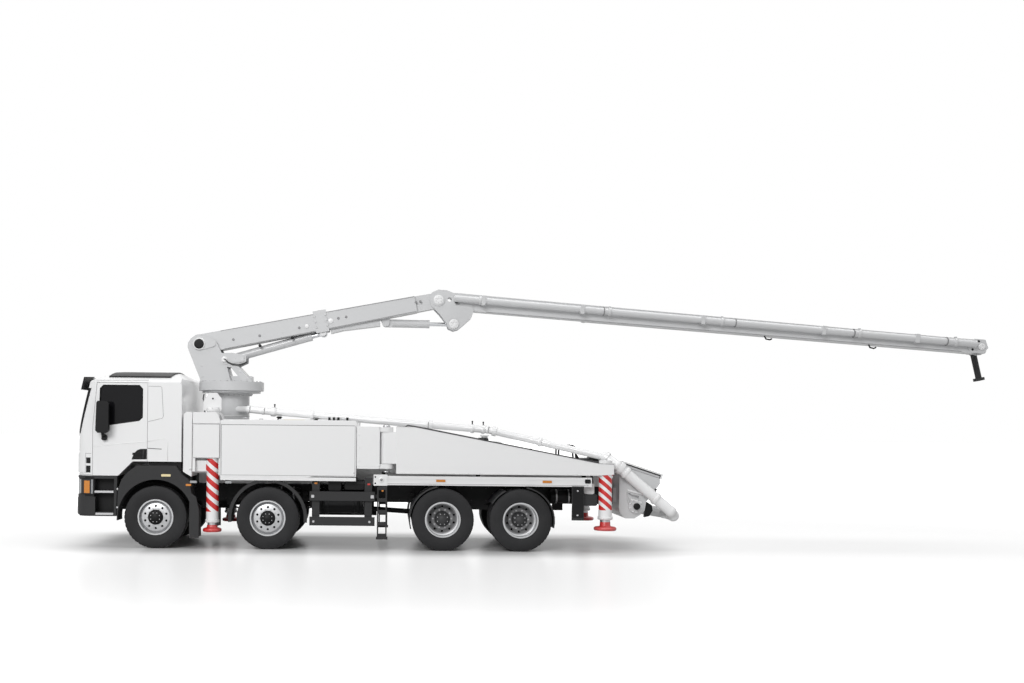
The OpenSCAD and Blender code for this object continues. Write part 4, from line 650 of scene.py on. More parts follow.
class Solid:
    """A mesh under construction, in metres, with one material index for each finish."""

    bevel_angle: float = math.radians(50)

    def __init__(self, name: str, origin: float = 0.0) -> None:
        """Starts an empty mesh.

        Args:
            name: The piece's name.
            origin: Where x = 0 lies, such as the front axle.
        """
        self.name = name
        self.origin = origin
        self.mesh = bmesh.new()
        self.materials: list[bpy.types.Material] = []
        self.first: Finish | None = None
        self.kept = False

    def index(self, finish: "Finish | Stripes") -> int:
        """Gives the finish's material index.

        Args:
            finish: The finish, or bands of its own.

        Returns:
            The index.
        """
        if isinstance(finish, Finish):
            self.first = self.first or finish
            material = finish.material
        else:
            material = bpy.data.materials.get(finish.name) or finish.material()
        if material not in self.materials:
            self.materials.append(material)
        return self.materials.index(material)

    def faces(self, points: Iterable[Point], loops: Iterable[Sequence[int]], finish: Finish) -> None:
        """Adds flat faces.

        Args:
            points: The corners.
            loops: Corner numbers of each face.
            finish: Their finish.
        """
        index = self.index(finish)
        corners = [self.mesh.verts.new(p) for p in points]
        for loop in loops:
            self.mesh.faces.new([corners[i] for i in loop]).material_index = index

    def prism(self, outline: Sequence[Flat], low: float, high: float, lay: Callable, finish: Finish) -> None:
        """Adds an extruded outline.

        Args:
            outline: Corners in a plane.
            low: Start of the extrusion.
            high: Its end.
            lay: Turns (u, v, height) into a point.
            finish: The finish.
        """
        count = len(outline)
        points = [lay(u, v, h) for h in (low, high) for u, v in outline]
        loops = [list(range(count))[::-1], list(range(count, 2 * count))]
        loops += [[i, (i + 1) % count, (i + 1) % count + count, i + count] for i in range(count)]
        self.faces(points, loops, finish)

    def side(self, outline: Sequence[Flat], y0: float, y1: float, finish: Finish) -> None:
        """Adds a solid with a side view outline of (x, z) between two Y, given in any order."""
        self.prism(outline, min(y0, y1), max(y0, y1), lambda u, v, h: (u, h, v), finish)

    def plan(self, outline: Sequence[Flat], z0: float, z1: float, finish: Finish) -> None:
        """Adds a solid with a plan outline of (x, y) from z0 to z1."""
        self.prism(outline, z0, z1, lambda u, v, h: (u, v, h), finish)

    def block(self, low: Point, high: Point, finish: Finish, edge: float = 0.0) -> None:
        """Adds a box with its long edges along Y chamfered.

        Args:
            low: Front lower corner.
            high: Rear upper corner, on either side of the other.
            finish: The finish.
            edge: Chamfer of its side view.
        """
        x0, x1, z0, z1 = low[0], high[0], low[2], high[2]
        if edge:
            outline = [
                (x0 + edge, z0), (x1 - edge, z0), (x1, z0 + edge), (x1, z1 - edge),
                (x1 - edge, z1), (x0 + edge, z1), (x0, z1 - edge), (x0, z0 + edge),
            ]
        else:
            outline = [(x0, z0), (x1, z0), (x1, z1), (x0, z1)]
        self.side(outline, low[1], high[1], finish)

    def revolve(self, profile: Sequence[Flat], base: Point, axis: Point, finish: Finish, steps: int = 32,
                smooth: bool = True, closed: bool = False) -> None:
        """Adds a turned form.

        Args:
            profile: Points of (radius, height along the axis).
            base: Where height 0 lies.
            axis: The axis of turning.
            finish: The finish.
            steps: Faces round.
            smooth: Whether it shades smoothly.
            closed: Whether the profile's end joins its start.
        """
        turn = Vector(axis).normalized().to_track_quat("Z", "Y").to_matrix()
        index = self.index(finish)
        rings = []
        for radius, height in profile:
            count = 1 if radius < 1e-6 else steps
            rings.append([
                self.mesh.verts.new(Vector(base) + turn @ Vector((
                    radius * math.cos(math.tau * i / steps), radius * math.sin(math.tau * i / steps), height
                )))
                for i in range(count)
            ])
        pairs = list(zip(rings, rings[1:] + ([rings[0]] if closed else [])))
        for low, high in pairs:
            for i in range(steps):
                j = (i + 1) % steps
                loop = [low[i % len(low)], low[j % len(low)], high[j % len(high)], high[i % len(high)]]
                corners = list(dict.fromkeys(loop))
                if len(corners) < 3:
                    continue
                face = self.mesh.faces.new(corners)
                face.material_index = index
                face.smooth = smooth

    def hoop(self, radii: Flat, levels: Flat, base: Point, axis: Point, finish: Finish,
             steps: int = 32) -> None:
        """Adds a square-edged ring.

        Args:
            radii: Its inner and outer radius.
            levels: Its lower and upper height along the axis.
            base: Where height 0 lies.
            axis: Its axis.
            finish: The finish.
            steps: Faces round.
        """
        (inner, outer), (low, high) = radii, levels
        profile = [(inner, low), (outer, low), (outer, high), (inner, high)]
        self.revolve(profile, base, axis, finish, steps, closed=True)

    def take(self, mesh: bpy.types.Mesh, finish: Finish, place: Matrix) -> None:
        """Adds a mesh, placed.

        Args:
            mesh: What to add.
            finish: Its finish.
            place: Where it goes.
        """
        self.faces([place @ v.co for v in mesh.vertices], [p.vertices for p in mesh.polygons], finish)

    def rod(self, start: Point, end: Point, radius: float, finish: Finish, steps: int = 16,
            edge: float = 0.0) -> None:
        """Adds a round bar with closed, slightly chamfered ends.

        Args:
            start: One end.
            end: The other end.
            radius: Its radius.
            finish: The finish.
            steps: Faces round.
            edge: Chamfer at the ends.
        """
        a, b = Vector(start), Vector(end)
        length = (b - a).length
        edge = edge or radius * 0.08
        profile = [(0.0, 0.0), (radius - edge, 0.0), (radius, edge), (radius, length - edge),
                   (radius - edge, length), (0.0, length)]
        self.revolve(profile, start, tuple(b - a), finish, steps)

    def tube(self, path: Sequence[Point], radius: float, finish: Finish, steps: int = 10) -> None:
        """Adds a bent tube with closed ends.

        Args:
            path: Points of its centre line.
            radius: Its radius.
            finish: The finish.
            steps: Faces round.
        """
        index = self.index(finish)
        points = [Vector(p) for p in path]
        normal = None
        rings = []
        for i, point in enumerate(points):
            ahead = points[min(i + 1, len(points) - 1)] - points[max(i - 1, 0)]
            ahead.normalize()
            if normal is None:
                normal = ahead.orthogonal().normalized()
            normal = (normal - ahead * normal.dot(ahead)).normalized()
            across = ahead.cross(normal)
            rings.append([
                self.mesh.verts.new(point + radius * (
                    normal * math.cos(math.tau * k / steps) + across * math.sin(math.tau * k / steps)
                ))
                for k in range(steps)
            ])
        for low, high in zip(rings, rings[1:]):
            for k in range(steps):
                m = (k + 1) % steps
                face = self.mesh.faces.new([low[k], low[m], high[m], high[k]])
                face.material_index = index
                face.smooth = True
        for ring in (rings[0][::-1], rings[-1]):
            self.mesh.faces.new(ring).material_index = index

    def wire(self, path: Sequence[Flat], y: float, radius: float, finish: Finish, steps: int = 8) -> None:
        """Adds a bent tube whose centre line of (x, z) lies at one Y."""
        self.tube([(x, y, z) for x, z in path], radius, finish, steps)

    def hexagon(self, centre: Point, axis: Point, across: float, height: float, finish: Finish) -> None:
        """Adds a bolt head on its washer.

        Args:
            centre: Middle of its seat.
            axis: Outward direction.
            across: Size across flats.
            height: Height of the head.
            finish: The finish.
        """
        a = Vector(axis).normalized()
        radius = across / math.sqrt(3)
        self.rod(centre, tuple(Vector(centre) + a * height * 0.25), radius * 1.25, finish, 12)
        profile = [(0.0, height * 0.2), (radius, height * 0.2), (radius, height * 0.9),
                   (radius * 0.86, height), (0.0, height)]
        self.revolve(profile, centre, axis, finish, 6, smooth=False)

    def bolts(self, spots: Iterable[Flat], face: float, across: float, height: float, finish: Finish) -> None:
        """Adds bolt heads at places (x, z) of a face across Y, pointing away from the middle."""
        for x, z in spots:
            self.hexagon((x, face, z), (0, math.copysign(1.0, face), 0), across, height, finish)

    def done(self, body: str, replaced: Sequence[str] = (), slot: str | None = None,
             bevel: float = 0.0, mirrored: bool = False) -> None:
        """Turns the mesh into a piece that rides on a body.

        Args:
            body: The CAD body's name.
            replaced: CAD nodes that it stands for.
            slot: The record's slot, or that of its first finish; not used.
            bevel: Width of a bevel over its sharp edges.
            mirrored: Whether the other side of the truck gets a copy.
        """
        if mirrored:
            parts = self.mesh.verts[:] + self.mesh.edges[:] + self.mesh.faces[:]
            copy = bmesh.ops.duplicate(self.mesh, geom=parts)["geom"]
            for corner in (part for part in copy if isinstance(part, bmesh.types.BMVert)):
                corner.co.y *= -1.0
            bmesh.ops.reverse_faces(
                self.mesh, faces=[part for part in copy if isinstance(part, bmesh.types.BMFace)]
            )
        bmesh.ops.translate(self.mesh, verts=self.mesh.verts, vec=(self.origin, 0.0, 0.0))
        if not self.kept:
            bmesh.ops.recalc_face_normals(self.mesh, faces=self.mesh.faces)
        data = bpy.data.meshes.new(self.name)
        self.mesh.to_mesh(data)
        self.mesh.free()
        for material in self.materials:
            data.materials.append(material)
        piece = add_object(self.name, data)
        if bevel:
            rounding = piece.modifiers.new("edges", "BEVEL")
            rounding.width = bevel
            rounding.segments = 2
            rounding.limit_method = "ANGLE"
            rounding.angle_limit = self.bevel_angle
            rounding.harden_normals = True
        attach(piece, body)
        if replaced:
            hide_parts(*replaced)
        slot or (self.first or Finish.WHITE).slot
        log.info("%s: %d faces on %s", piece.name, len(data.polygons), body)


@dataclass(frozen=True)
class Places:
    """Where things lie, worked out from the frame's own boxes."""

    front_axle: float
    ground: float
    wheel_height: float

    @classmethod
    def read(cls) -> "Places":
        """Reads the frame.

        Returns:
            The places.
        """
        low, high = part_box("wheel_1_left")
        return cls((low.x + high.x) / 2, low.z, (high.z + low.z) / 2)

    def x(self, behind: float) -> float:
        """Place along the truck, counted from the front axle."""
        return self.front_axle + behind

    def solid(self, name: str) -> Solid:
        """An empty mesh with its x counted from the front axle."""
        return Solid(name, self.front_axle)


# Light, floor and camera


@dataclass
class Studio:
    """White studio with a soft floor, wide lamps and the photograph's camera."""

    places: Places
    camera_behind: float = 4.093
    camera_y: float = -20.235
    camera_height: float = 2.12
    focal_px: float = 1100.0
    centre_px: Flat = (393.0, 428.0)
    photo_px: Flat = (1024.0, 683.0)
    roll: float = math.radians(0.56)
    floor_size: float = 400.0

    def camera(self) -> None:
        """Places the camera."""
        data = bpy.data.cameras.new("camera")
        width, height = self.photo_px
        data.sensor_fit = "HORIZONTAL"
        data.sensor_width = 36.0
        data.lens = self.focal_px / width * 36.0
        data.shift_x = (width / 2 - self.centre_px[0]) / width
        data.shift_y = (self.centre_px[1] - height / 2) / width
        data.clip_end = 1000.0
        camera = add_object("camera", data)
        place = Matrix.Translation((self.places.x(self.camera_behind), self.camera_y, self.camera_height))
        turn = Matrix.Rotation(math.pi / 2, 4, "X") @ Matrix.Rotation(self.roll, 4, "Z")
        camera.matrix_world = place @ turn
        bpy.context.scene.camera = camera

    def _floor_material(self) -> bpy.types.Material:
        """Builds the floor's white, which glows away from the truck and far off: painted light, which leaves
        painted shade round the truck.

        Returns:
            The material.
        """
        nodes = Nodes("studio floor")
        seen = nodes.add("ShaderNodeLightPath", {}, {}, "Is Camera Ray")
        inputs = {"Base Color": (0.56, 0.56, 0.56), "Roughness": 0.3, "Specular IOR Level": 0.12}
        matte = nodes.add("ShaderNodeBsdfPrincipled", {}, inputs)
        x, y = nodes.axis("X"), nodes.axis("Y")
        far = (x * x * 0.25 + y * y).ramp(30.0, 190.0)
        # The glow that starts clear of the truck's outline paints the floor darker round and under the truck,
        # a painted shadow
        beside = (x + 3.3).absolute().ramp(4.2, 6.2) + y.absolute().ramp(1.2, 2.7)
        strength = seen * (beside.ramp(0.0, 1.0) * 0.28 + far * 0.7)
        glow = nodes.add("ShaderNodeEmission", {}, {"Color": (1.0, 1.0, 1.0), "Strength": strength})
        return nodes.finish(nodes.add("ShaderNodeAddShader", {}, {0: matte, 1: glow}))

    def floor(self) -> None:
        """Makes the white floor, which keeps the shadows and a faint reflection."""
        half, level = self.floor_size / 2, self.places.ground
        corners = [(x, y, level) for x, y in ((-half, -half), (half, -half), (half, half), (-half, half))]
        data = bpy.data.meshes.new("studio_floor")
        data.from_pydata(corners, [], [(0, 1, 2, 3)])
        data.materials.append(self._floor_material())
        add_object("studio_floor", data)

    def world(self) -> None:
        """Fills the background with white and the studio with soft grey light."""
        world = bpy.data.worlds.new("studio")
        bpy.context.scene.world = world
        world.use_nodes = True
        tree = Tree(world.node_tree)
        tree.tree.nodes.clear()
        camera = tree.add("ShaderNodeLightPath", {}, {}, "Is Camera Ray")
        both = {0: camera, 1: camera.beside("Is Glossy Ray")}
        seen = tree.add("ShaderNodeMath", {"operation": "MAXIMUM"}, both)
        soft, white = (
            tree.add("ShaderNodeBackground", {}, {"Color": (1.0, 1.0, 1.0), "Strength": strength})
            for strength in (0.30, 1.0)
        )
        tree.end("ShaderNodeOutputWorld", tree.add("ShaderNodeMixShader", {}, {0: seen, 1: soft, 2: white}))

    def lamp(self, name: str, place: Point, aim: Point, size: Flat, power: float) -> None:
        """Adds one area lamp.

        Args:
            name: Its name.
            place: Where it hangs.
            aim: What it points at.
            size: Its width and height in metres.
            power: Its power in watts.
        """
        data = bpy.data.lights.new(name, "AREA")
        data.shape = "RECTANGLE"
        data.size, data.size_y = size
        data.energy = power
        turn = (Vector(aim) - Vector(place)).to_track_quat("-Z", "Y").to_matrix().to_4x4()
        add_object(name, data).matrix_world = Matrix.Translation(place) @ turn

    def build(self) -> None:
        """Sets the whole studio up."""
        middle = (0.0, 0.0, 1.5)
        self.camera()
        self.floor()
        self.world()
        self.lamp("overhead", (0.0, 0.0, 42.0), (0.0, 0.0, 0.0), (60.0, 27.0), 14500.0)
        self.lamp("key", (-16.0, -34.0, 19.0), middle, (20.0, 13.0), 9200.0)
        bpy.context.scene.view_settings.view_transform = "Standard"


# Copies of the solids with rounded edges, dressed zone by zone

ANY: Flat = (-99.0, 99.0)


@dataclass(frozen=True)
class Zone:
    """A box on both sides of the truck, its x counted from the front axle, whose faces take a finish."""

    finish: "Finish | Stripes"
    x: Flat = ANY
    y: Flat = ANY
    z: Flat = ANY
    hub: Flat | None = None
    radius: Flat = ANY

    def holds(self, face: bmesh.types.BMFace, origin: float) -> bool:
        """Tells whether a face lies in the zone.

        Args:
            face: The face.
            origin: The front axle's place.

        Returns:
            True where each of its corners does.
        """
        for corner in face.verts:
            x, y, z = corner.co.x - origin, abs(corner.co.y), corner.co.z
            spans = [(x, self.x), (y, self.y), (z, self.z)]
            if self.hub:
                spans.append((math.hypot(x - self.hub[0], z - self.hub[1]), self.radius))
            if any(not low <= value <= high for value, (low, high) in spans):
                return False
        return True


@dataclass(frozen=True)
class Recast:
    """A CAD node copied, cleaned, dressed by zone and rounded at its edges."""

    node: str
    base: Finish
    zones: tuple[Zone, ...] = ()
    bevel: float = 0.0
    smooth: float = 32.0
    merged: bool = True
    weld: float = 0.00002
    flat: float = math.radians(0.4)

    def build(self, frame: dict, body: str, origin: float) -> None:
        """Makes the piece.

        Args:
            body: The CAD body that it rides on.
            origin: The front axle's place.
        """
        solid = Solid(self.node + "_finished")
        solid.kept = True
        mesh = solid.mesh
        mesh.from_mesh(frame["nodes"][self.node].data)
        bmesh.ops.remove_doubles(mesh, verts=mesh.verts, dist=self.weld)
        if self.merged:
            bmesh.ops.dissolve_limit(mesh, angle_limit=self.flat, verts=mesh.verts, edges=mesh.edges)
        mesh.normal_update()
        base = solid.index(self.base)
        for face in mesh.faces:
            face.smooth = True
            face.material_index = base
            for zone in self.zones:
                if zone.holds(face, origin):
                    face.material_index = solid.index(zone.finish)
        limit = math.radians(self.smooth)
        for edge in mesh.edges:
            edge.smooth = len(edge.link_faces) == 2 and edge.calc_face_angle(math.tau) < limit
        solid.done(body, [self.node], self.base.slot, self.bevel)


@dataclass(frozen=True)
class Skins:
    """How each CAD node is dressed."""

    places: Places
    # Nodes with their finish and bevel
    single: tuple[tuple[str, Finish, float], ...] = (
        ("chassis_frame", Finish.CHASSIS, 0.003), ("springs", Finish.CHASSIS, 0.002),
        ("axles", Finish.CHASSIS, 0.003), ("engine_block", Finish.CHASSIS, 0.012),
        ("cab_shell", Finish.WHITE, 0.005), ("cab_glass", Finish.GLASS, 0.0),
        ("cab_interior", Finish.DARK, 0.02), ("cab_trim", Finish.BLACK, 0.002),
        ("grille", Finish.BLACK, 0.002), ("front_bumper", Finish.DARK, 0.012),
        ("lamps", Finish.LAMP, 0.006), ("mudguards", Finish.DARK, 0.003),
        ("subframe", Finish.WHITE, 0.004), ("side_bodies", Finish.WHITE, 0.006),
        ("deck", Finish.WHITE, 0.006), ("side_guards", Finish.DARK, 0.004),
        # The hopper's grey is painted shade: it is white paint in shadow
        ("tanks", Finish.TANK, 0.006), ("hopper", Finish.GREY_AND_SHADE, 0.006),
        ("pump_cylinders", Finish.CHASSIS, 0.004), ("delivery_pipe", Finish.WHITE, 0.002),
        ("hopper_grate", Finish.STEEL, 0.001), ("hopper_lid", Finish.WHITE, 0.003),
        ("turret", Finish.GREY_AND_SHADE, 0.006), ("lift_barrel", Finish.GREY_AND_SHADE, 0.003),
        ("lift_rod", Finish.CHROME, 0.003), ("elbow_barrel", Finish.GREY_AND_SHADE, 0.003),
        ("elbow_rod", Finish.CHROME, 0.003), ("arm_1", Finish.GREY_AND_SHADE, 0.005),
        ("arm_2", Finish.GREY_AND_SHADE, 0.004), ("arm_3", Finish.GREY_AND_SHADE, 0.004),
        ("arm_4", Finish.GREY_AND_SHADE, 0.003), ("drop_pipe", Finish.HOSE, 0.002),
    )
    # The same for nodes that have a left and a right one
    paired: tuple[tuple[str, Finish, float], ...] = (
        ("door", Finish.WHITE, 0.004), ("knuckle_1", Finish.CHASSIS, 0.003),
        ("knuckle_2", Finish.CHASSIS, 0.003), ("outrigger_front", Finish.WHITE, 0.004),
        ("outrigger_rear", Finish.WHITE, 0.005), ("jack_front", Finish.STEEL, 0.004),
        ("jack_rear", Finish.STEEL, 0.004),
    )
    # Nodes whose curved skins keep their small faces
    curved: tuple[str, ...] = ("cab_shell", "mudguards")
    rim_edge: float = 0.3092
    tyre_edge: float = 0.6
    twin_recess_shade: float = 0.282

    def _zones(self) -> dict[str, tuple[Zone, ...]]:
        """Lists the zones of the nodes that wear more than one finish.

        Returns:
            The zones by node, left and right ones under one name.
        """
        front = Stripes("front jack bands", BAND_RED, BAND_WHITE, 1.56, 0.64, 5, self.places.x(0.966))
        rear = Stripes("rear jack bands", BAND_RED, BAND_WHITE, 1.35, 0.73, 4, self.places.x(7.80))
        return {
            "front_bumper": (Zone(Finish.BLACK, x=(-1.07, -0.66), y=(0.9, 1.20), z=(0.5, 1.25)),),
            "lamps": (Zone(Finish.DARK, x=(7.3, 7.7)), Zone(Finish.RED_LENS, x=(7.6363, 7.7))),
            # The pedestal's grey is painted shade: it is white paint in strong shadow
            "subframe": (Zone(Finish.GREY_AND_SHADE, x=(0.70, 1.54), y=(0.0, 0.40), z=(1.05, 2.8)),),
            "side_bodies": (Zone(Finish.SEAM, y=(1.2341, 1.2359)),),
            "side_guards": (Zone(Finish.WHITE, x=(3.70, 7.65), z=(1.10, 1.32)),),
            "drop_pipe": (Zone(Finish.PIPE, z=(3.72, 9.0)), Zone(Finish.WHITE, z=(2.0, 3.07))),
            "door": (
                Zone(Finish.BLACK, x=(-0.41, -0.18), y=(1.22, 1.27), z=(1.60, 1.66)),
                Zone(Finish.BLACK, x=(-1.06, -0.76), y=(1.222, 1.46), z=(1.95, 2.6)),
                Zone(Finish.GLASS, y=(1.2, 1.2125)),
            ),
            "outrigger_front": (Zone(front, x=(0.84, 1.09), y=(0.98, 1.24), z=(0.44, 2.46)),),
            "outrigger_rear": (Zone(rear, x=(7.67, 7.93), y=(0.95, 1.22), z=(0.55, 1.45)),),
            "jack_front": (Zone(Finish.RED, z=(0.0, 0.47)),),
            "jack_rear": (Zone(Finish.RED, z=(0.0, 0.60)),),
        }

    def _wheel(self, number: int, side: str) -> Recast:
        """Dresses a wheel in rubber outside its rim, with the twin wheels' disc darker as painted shade in
        their dished recess.

        Args:
            number: The axle's number, from 1 at the front.
            side: left or right.

        Returns:
            The wheel's row.
        """
        hub = (AXLES[number - 1], self.places.wheel_height)
        zones = [Zone(Finish.RUBBER, hub=hub, radius=(self.rim_edge, self.tyre_edge))]
        if number in TWIN_AXLES:
            # The twin wheels' silver disc is dressed grey inside its recess as painted shade
            zones.append(Zone(Finish.GREY_METAL_AND_SHADE, hub=hub, radius=(0.0, self.twin_recess_shade)))
        return Recast(f"wheel_{number}_{side}", Finish.RIM, tuple(zones), smooth=24.0, merged=False)

    def _rows(self) -> list[Recast]:
        """Lists the nodes.

        Returns:
            One row for each node.
        """
        zones = self._zones()
        rows = [
            Recast(name, finish, zones.get(name, ()), bevel, merged=name not in self.curved)
            for name, finish, bevel in self.single
        ]
        for side, _ in SIDES:
            rows += [
                Recast(f"{name}_{side}", finish, zones.get(name, ()), bevel)
                for name, finish, bevel in self.paired
            ]
            rows += [self._wheel(number, side) for number in range(1, len(AXLES) + 1)]
        return rows

    def build(self, frame: dict) -> None:
        """Makes every piece.
        """
        bodies = frame["record"]["behaviour"]["bodies"]
        owner = {node: body for body, nodes in bodies.items() for node in nodes}
        rows = self._rows()
        for row in rows:
            row.build(frame, owner[row.node], self.places.front_axle)
        log.info("%d nodes dressed of %d", len(rows), len(frame["nodes"]))


def along(start: Flat, degrees: float, distance: float, lift: float = 0.0) -> Flat:
    """Gives the point at a distance along a line in the side view, lifted off it."""
    run, rise = math.cos(math.radians(degrees)), math.sin(math.radians(degrees))
    return (start[0] + distance * run - lift * rise, start[1] + distance * rise + lift * run)


def circle(centre: Flat, radius: float, count: int, phase: float = 0.5) -> list[Flat]:
    """Gives even points of a circle, the first of them at a share of one step."""
    turns = [math.tau * (i + phase) / count for i in range(count)]
    return [(centre[0] + radius * math.cos(a), centre[1] + radius * math.sin(a)) for a in turns]


@dataclass(frozen=True)
class Hub:
    """The form of one kind of hub, outward from its seat.

    The drum has its inner radius and its depth, and the bolts have their circle's radius and their height.
    """

    seat: float
    finish: Finish
    cap: tuple[Flat, ...]
    drum: Flat
    bolts: Flat
    nuts: Repeat


@dataclass(frozen=True)
class Wheels:
    """Tread, shoulder blocks, nuts and hub caps of the eight wheels."""

    places: Places
    front_track: float = 1.078
    rear_track: float = 1.058
    twin_pitch: float = 0.330
    grooves: tuple[float, ...] = (-0.078, -0.027, 0.027, 0.078)
    groove_width: float = 0.008
    groove_radii: Flat = (0.515, 0.5383)
    shoulder: float = 0.131
    shoulder_radius: float = 0.5285
    block_size: Point = (0.018, 0.052, 0.022)
    drum_radius: float = 0.238

    def _hubs(self) -> dict[bool, Hub]:
        """Lists the kinds of hub.

        Returns:
            The front hub under False and the twin wheels' hub under True.
        """
        front = Hub(
            self.front_track + 0.114, Finish.BLACK,
            ((0.0, -0.004), (0.130, -0.004), (0.132, 0.008), (0.126, 0.020), (0.104, 0.026),
             (0.101, 0.046), (0.094, 0.054), (0.070, 0.055), (0.068, 0.060), (0.0, 0.061)),
            (0.097, -0.066), (0.082, 0.052),
            Repeat("front_nuts", Shape.BOLT, 10, (0.026, 0.026, 0.026), 0.147),
        )
        twin = Hub(
            self.rear_track - self.twin_pitch / 2 + 0.014, Finish.CAP,
            ((0.0, 0.03), (0.135, 0.03), (0.137, 0.055), (0.128, 0.075), (0.112, 0.082),
             (0.110, 0.150), (0.104, 0.164), (0.082, 0.170), (0.080, 0.178), (0.0, 0.180)),
            (0.128, -0.094), (0.092, 0.165),
            Repeat("rear_nuts", Shape.BOLT, 10, (0.030, 0.030, 0.036), 0.161),
        )
        return {False: front, True: twin}

    def _tread(self, solid: Solid, x: float, y: float, blocks: bpy.types.Mesh) -> None:
        """Adds dark bands as painted shade in a tyre's grooves, and its shoulder blocks.

        Args:
            solid: Where they go.
            x: The axle's place.
            y: The tyre's middle.
            blocks: The ring of shoulder blocks.
        """
        height, half = self.places.wheel_height, self.groove_width / 2
        # Black bands in the grooves are painted shade
        for across in self.grooves:
            levels = (across - half, across + half)
            solid.hoop(self.groove_radii, levels, (x, y, height), RIGHT, Finish.BLACK, 64)
        for across in (-self.shoulder, self.shoulder):
            turn = Matrix.Translation((x, y + across, height)) @ Matrix.Rotation(math.pi / 2, 4, "X")
            solid.take(blocks, Finish.RUBBER, turn)

    def _hub(self, solid: Solid, x: float, out: float, hub: Hub, nuts: bpy.types.Mesh) -> None:
        """Adds a hub cap and its nuts.

        Args:
            solid: Where they go.
            x: The axle's place.
            out: -1 on the left and 1 on the right.
            hub: The kind of hub.
            nuts: The ring of nuts.
        """
        height = self.places.wheel_height
        base, axis = (x, out * hub.seat, height), (0, out, 0)
        solid.revolve(hub.cap, base, axis, hub.finish, 48)
        inner, depth = hub.drum
        solid.hoop((inner, self.drum_radius), (depth, depth + 0.004), base, axis, Finish.CHASSIS, 48)
        turn = Matrix.Rotation(-out * math.pi / 2, 4, "X")
        solid.take(nuts, Finish.STEEL, Matrix.Translation((x, out * (hub.seat + 0.010), height)) @ turn)
        reach, lift = hub.bolts
        solid.bolts(circle((x, height), reach, 8), out * (hub.seat + lift), 0.014, 0.007, Finish.STEEL)

    def build(self) -> None:
        """Makes one piece for each wheel."""
        blocks = Repeat("shoulder_blocks", Shape.BLOCK, 42, self.block_size, self.shoulder_radius)
        ring = blocks.mesh(Finish.RUBBER)
        hubs = self._hubs()
        nuts = {twin: hub.nuts.mesh(Finish.STEEL) for twin, hub in hubs.items()}
        for number, x in enumerate(AXLES, 1):
            twin = number in TWIN_AXLES
            tracks = (self.rear_track, self.rear_track - self.twin_pitch) if twin else (self.front_track,)
            for side, out in SIDES:
                solid = self.places.solid(f"wheel_{number}_{side}_tread")
                for y in tracks:
                    self._tread(solid, x, out * y, ring)
                self._hub(solid, x, out, hubs[twin], nuts[twin])
                solid.done(f"wheel_{number}_{side}", slot="tyre_rubber")


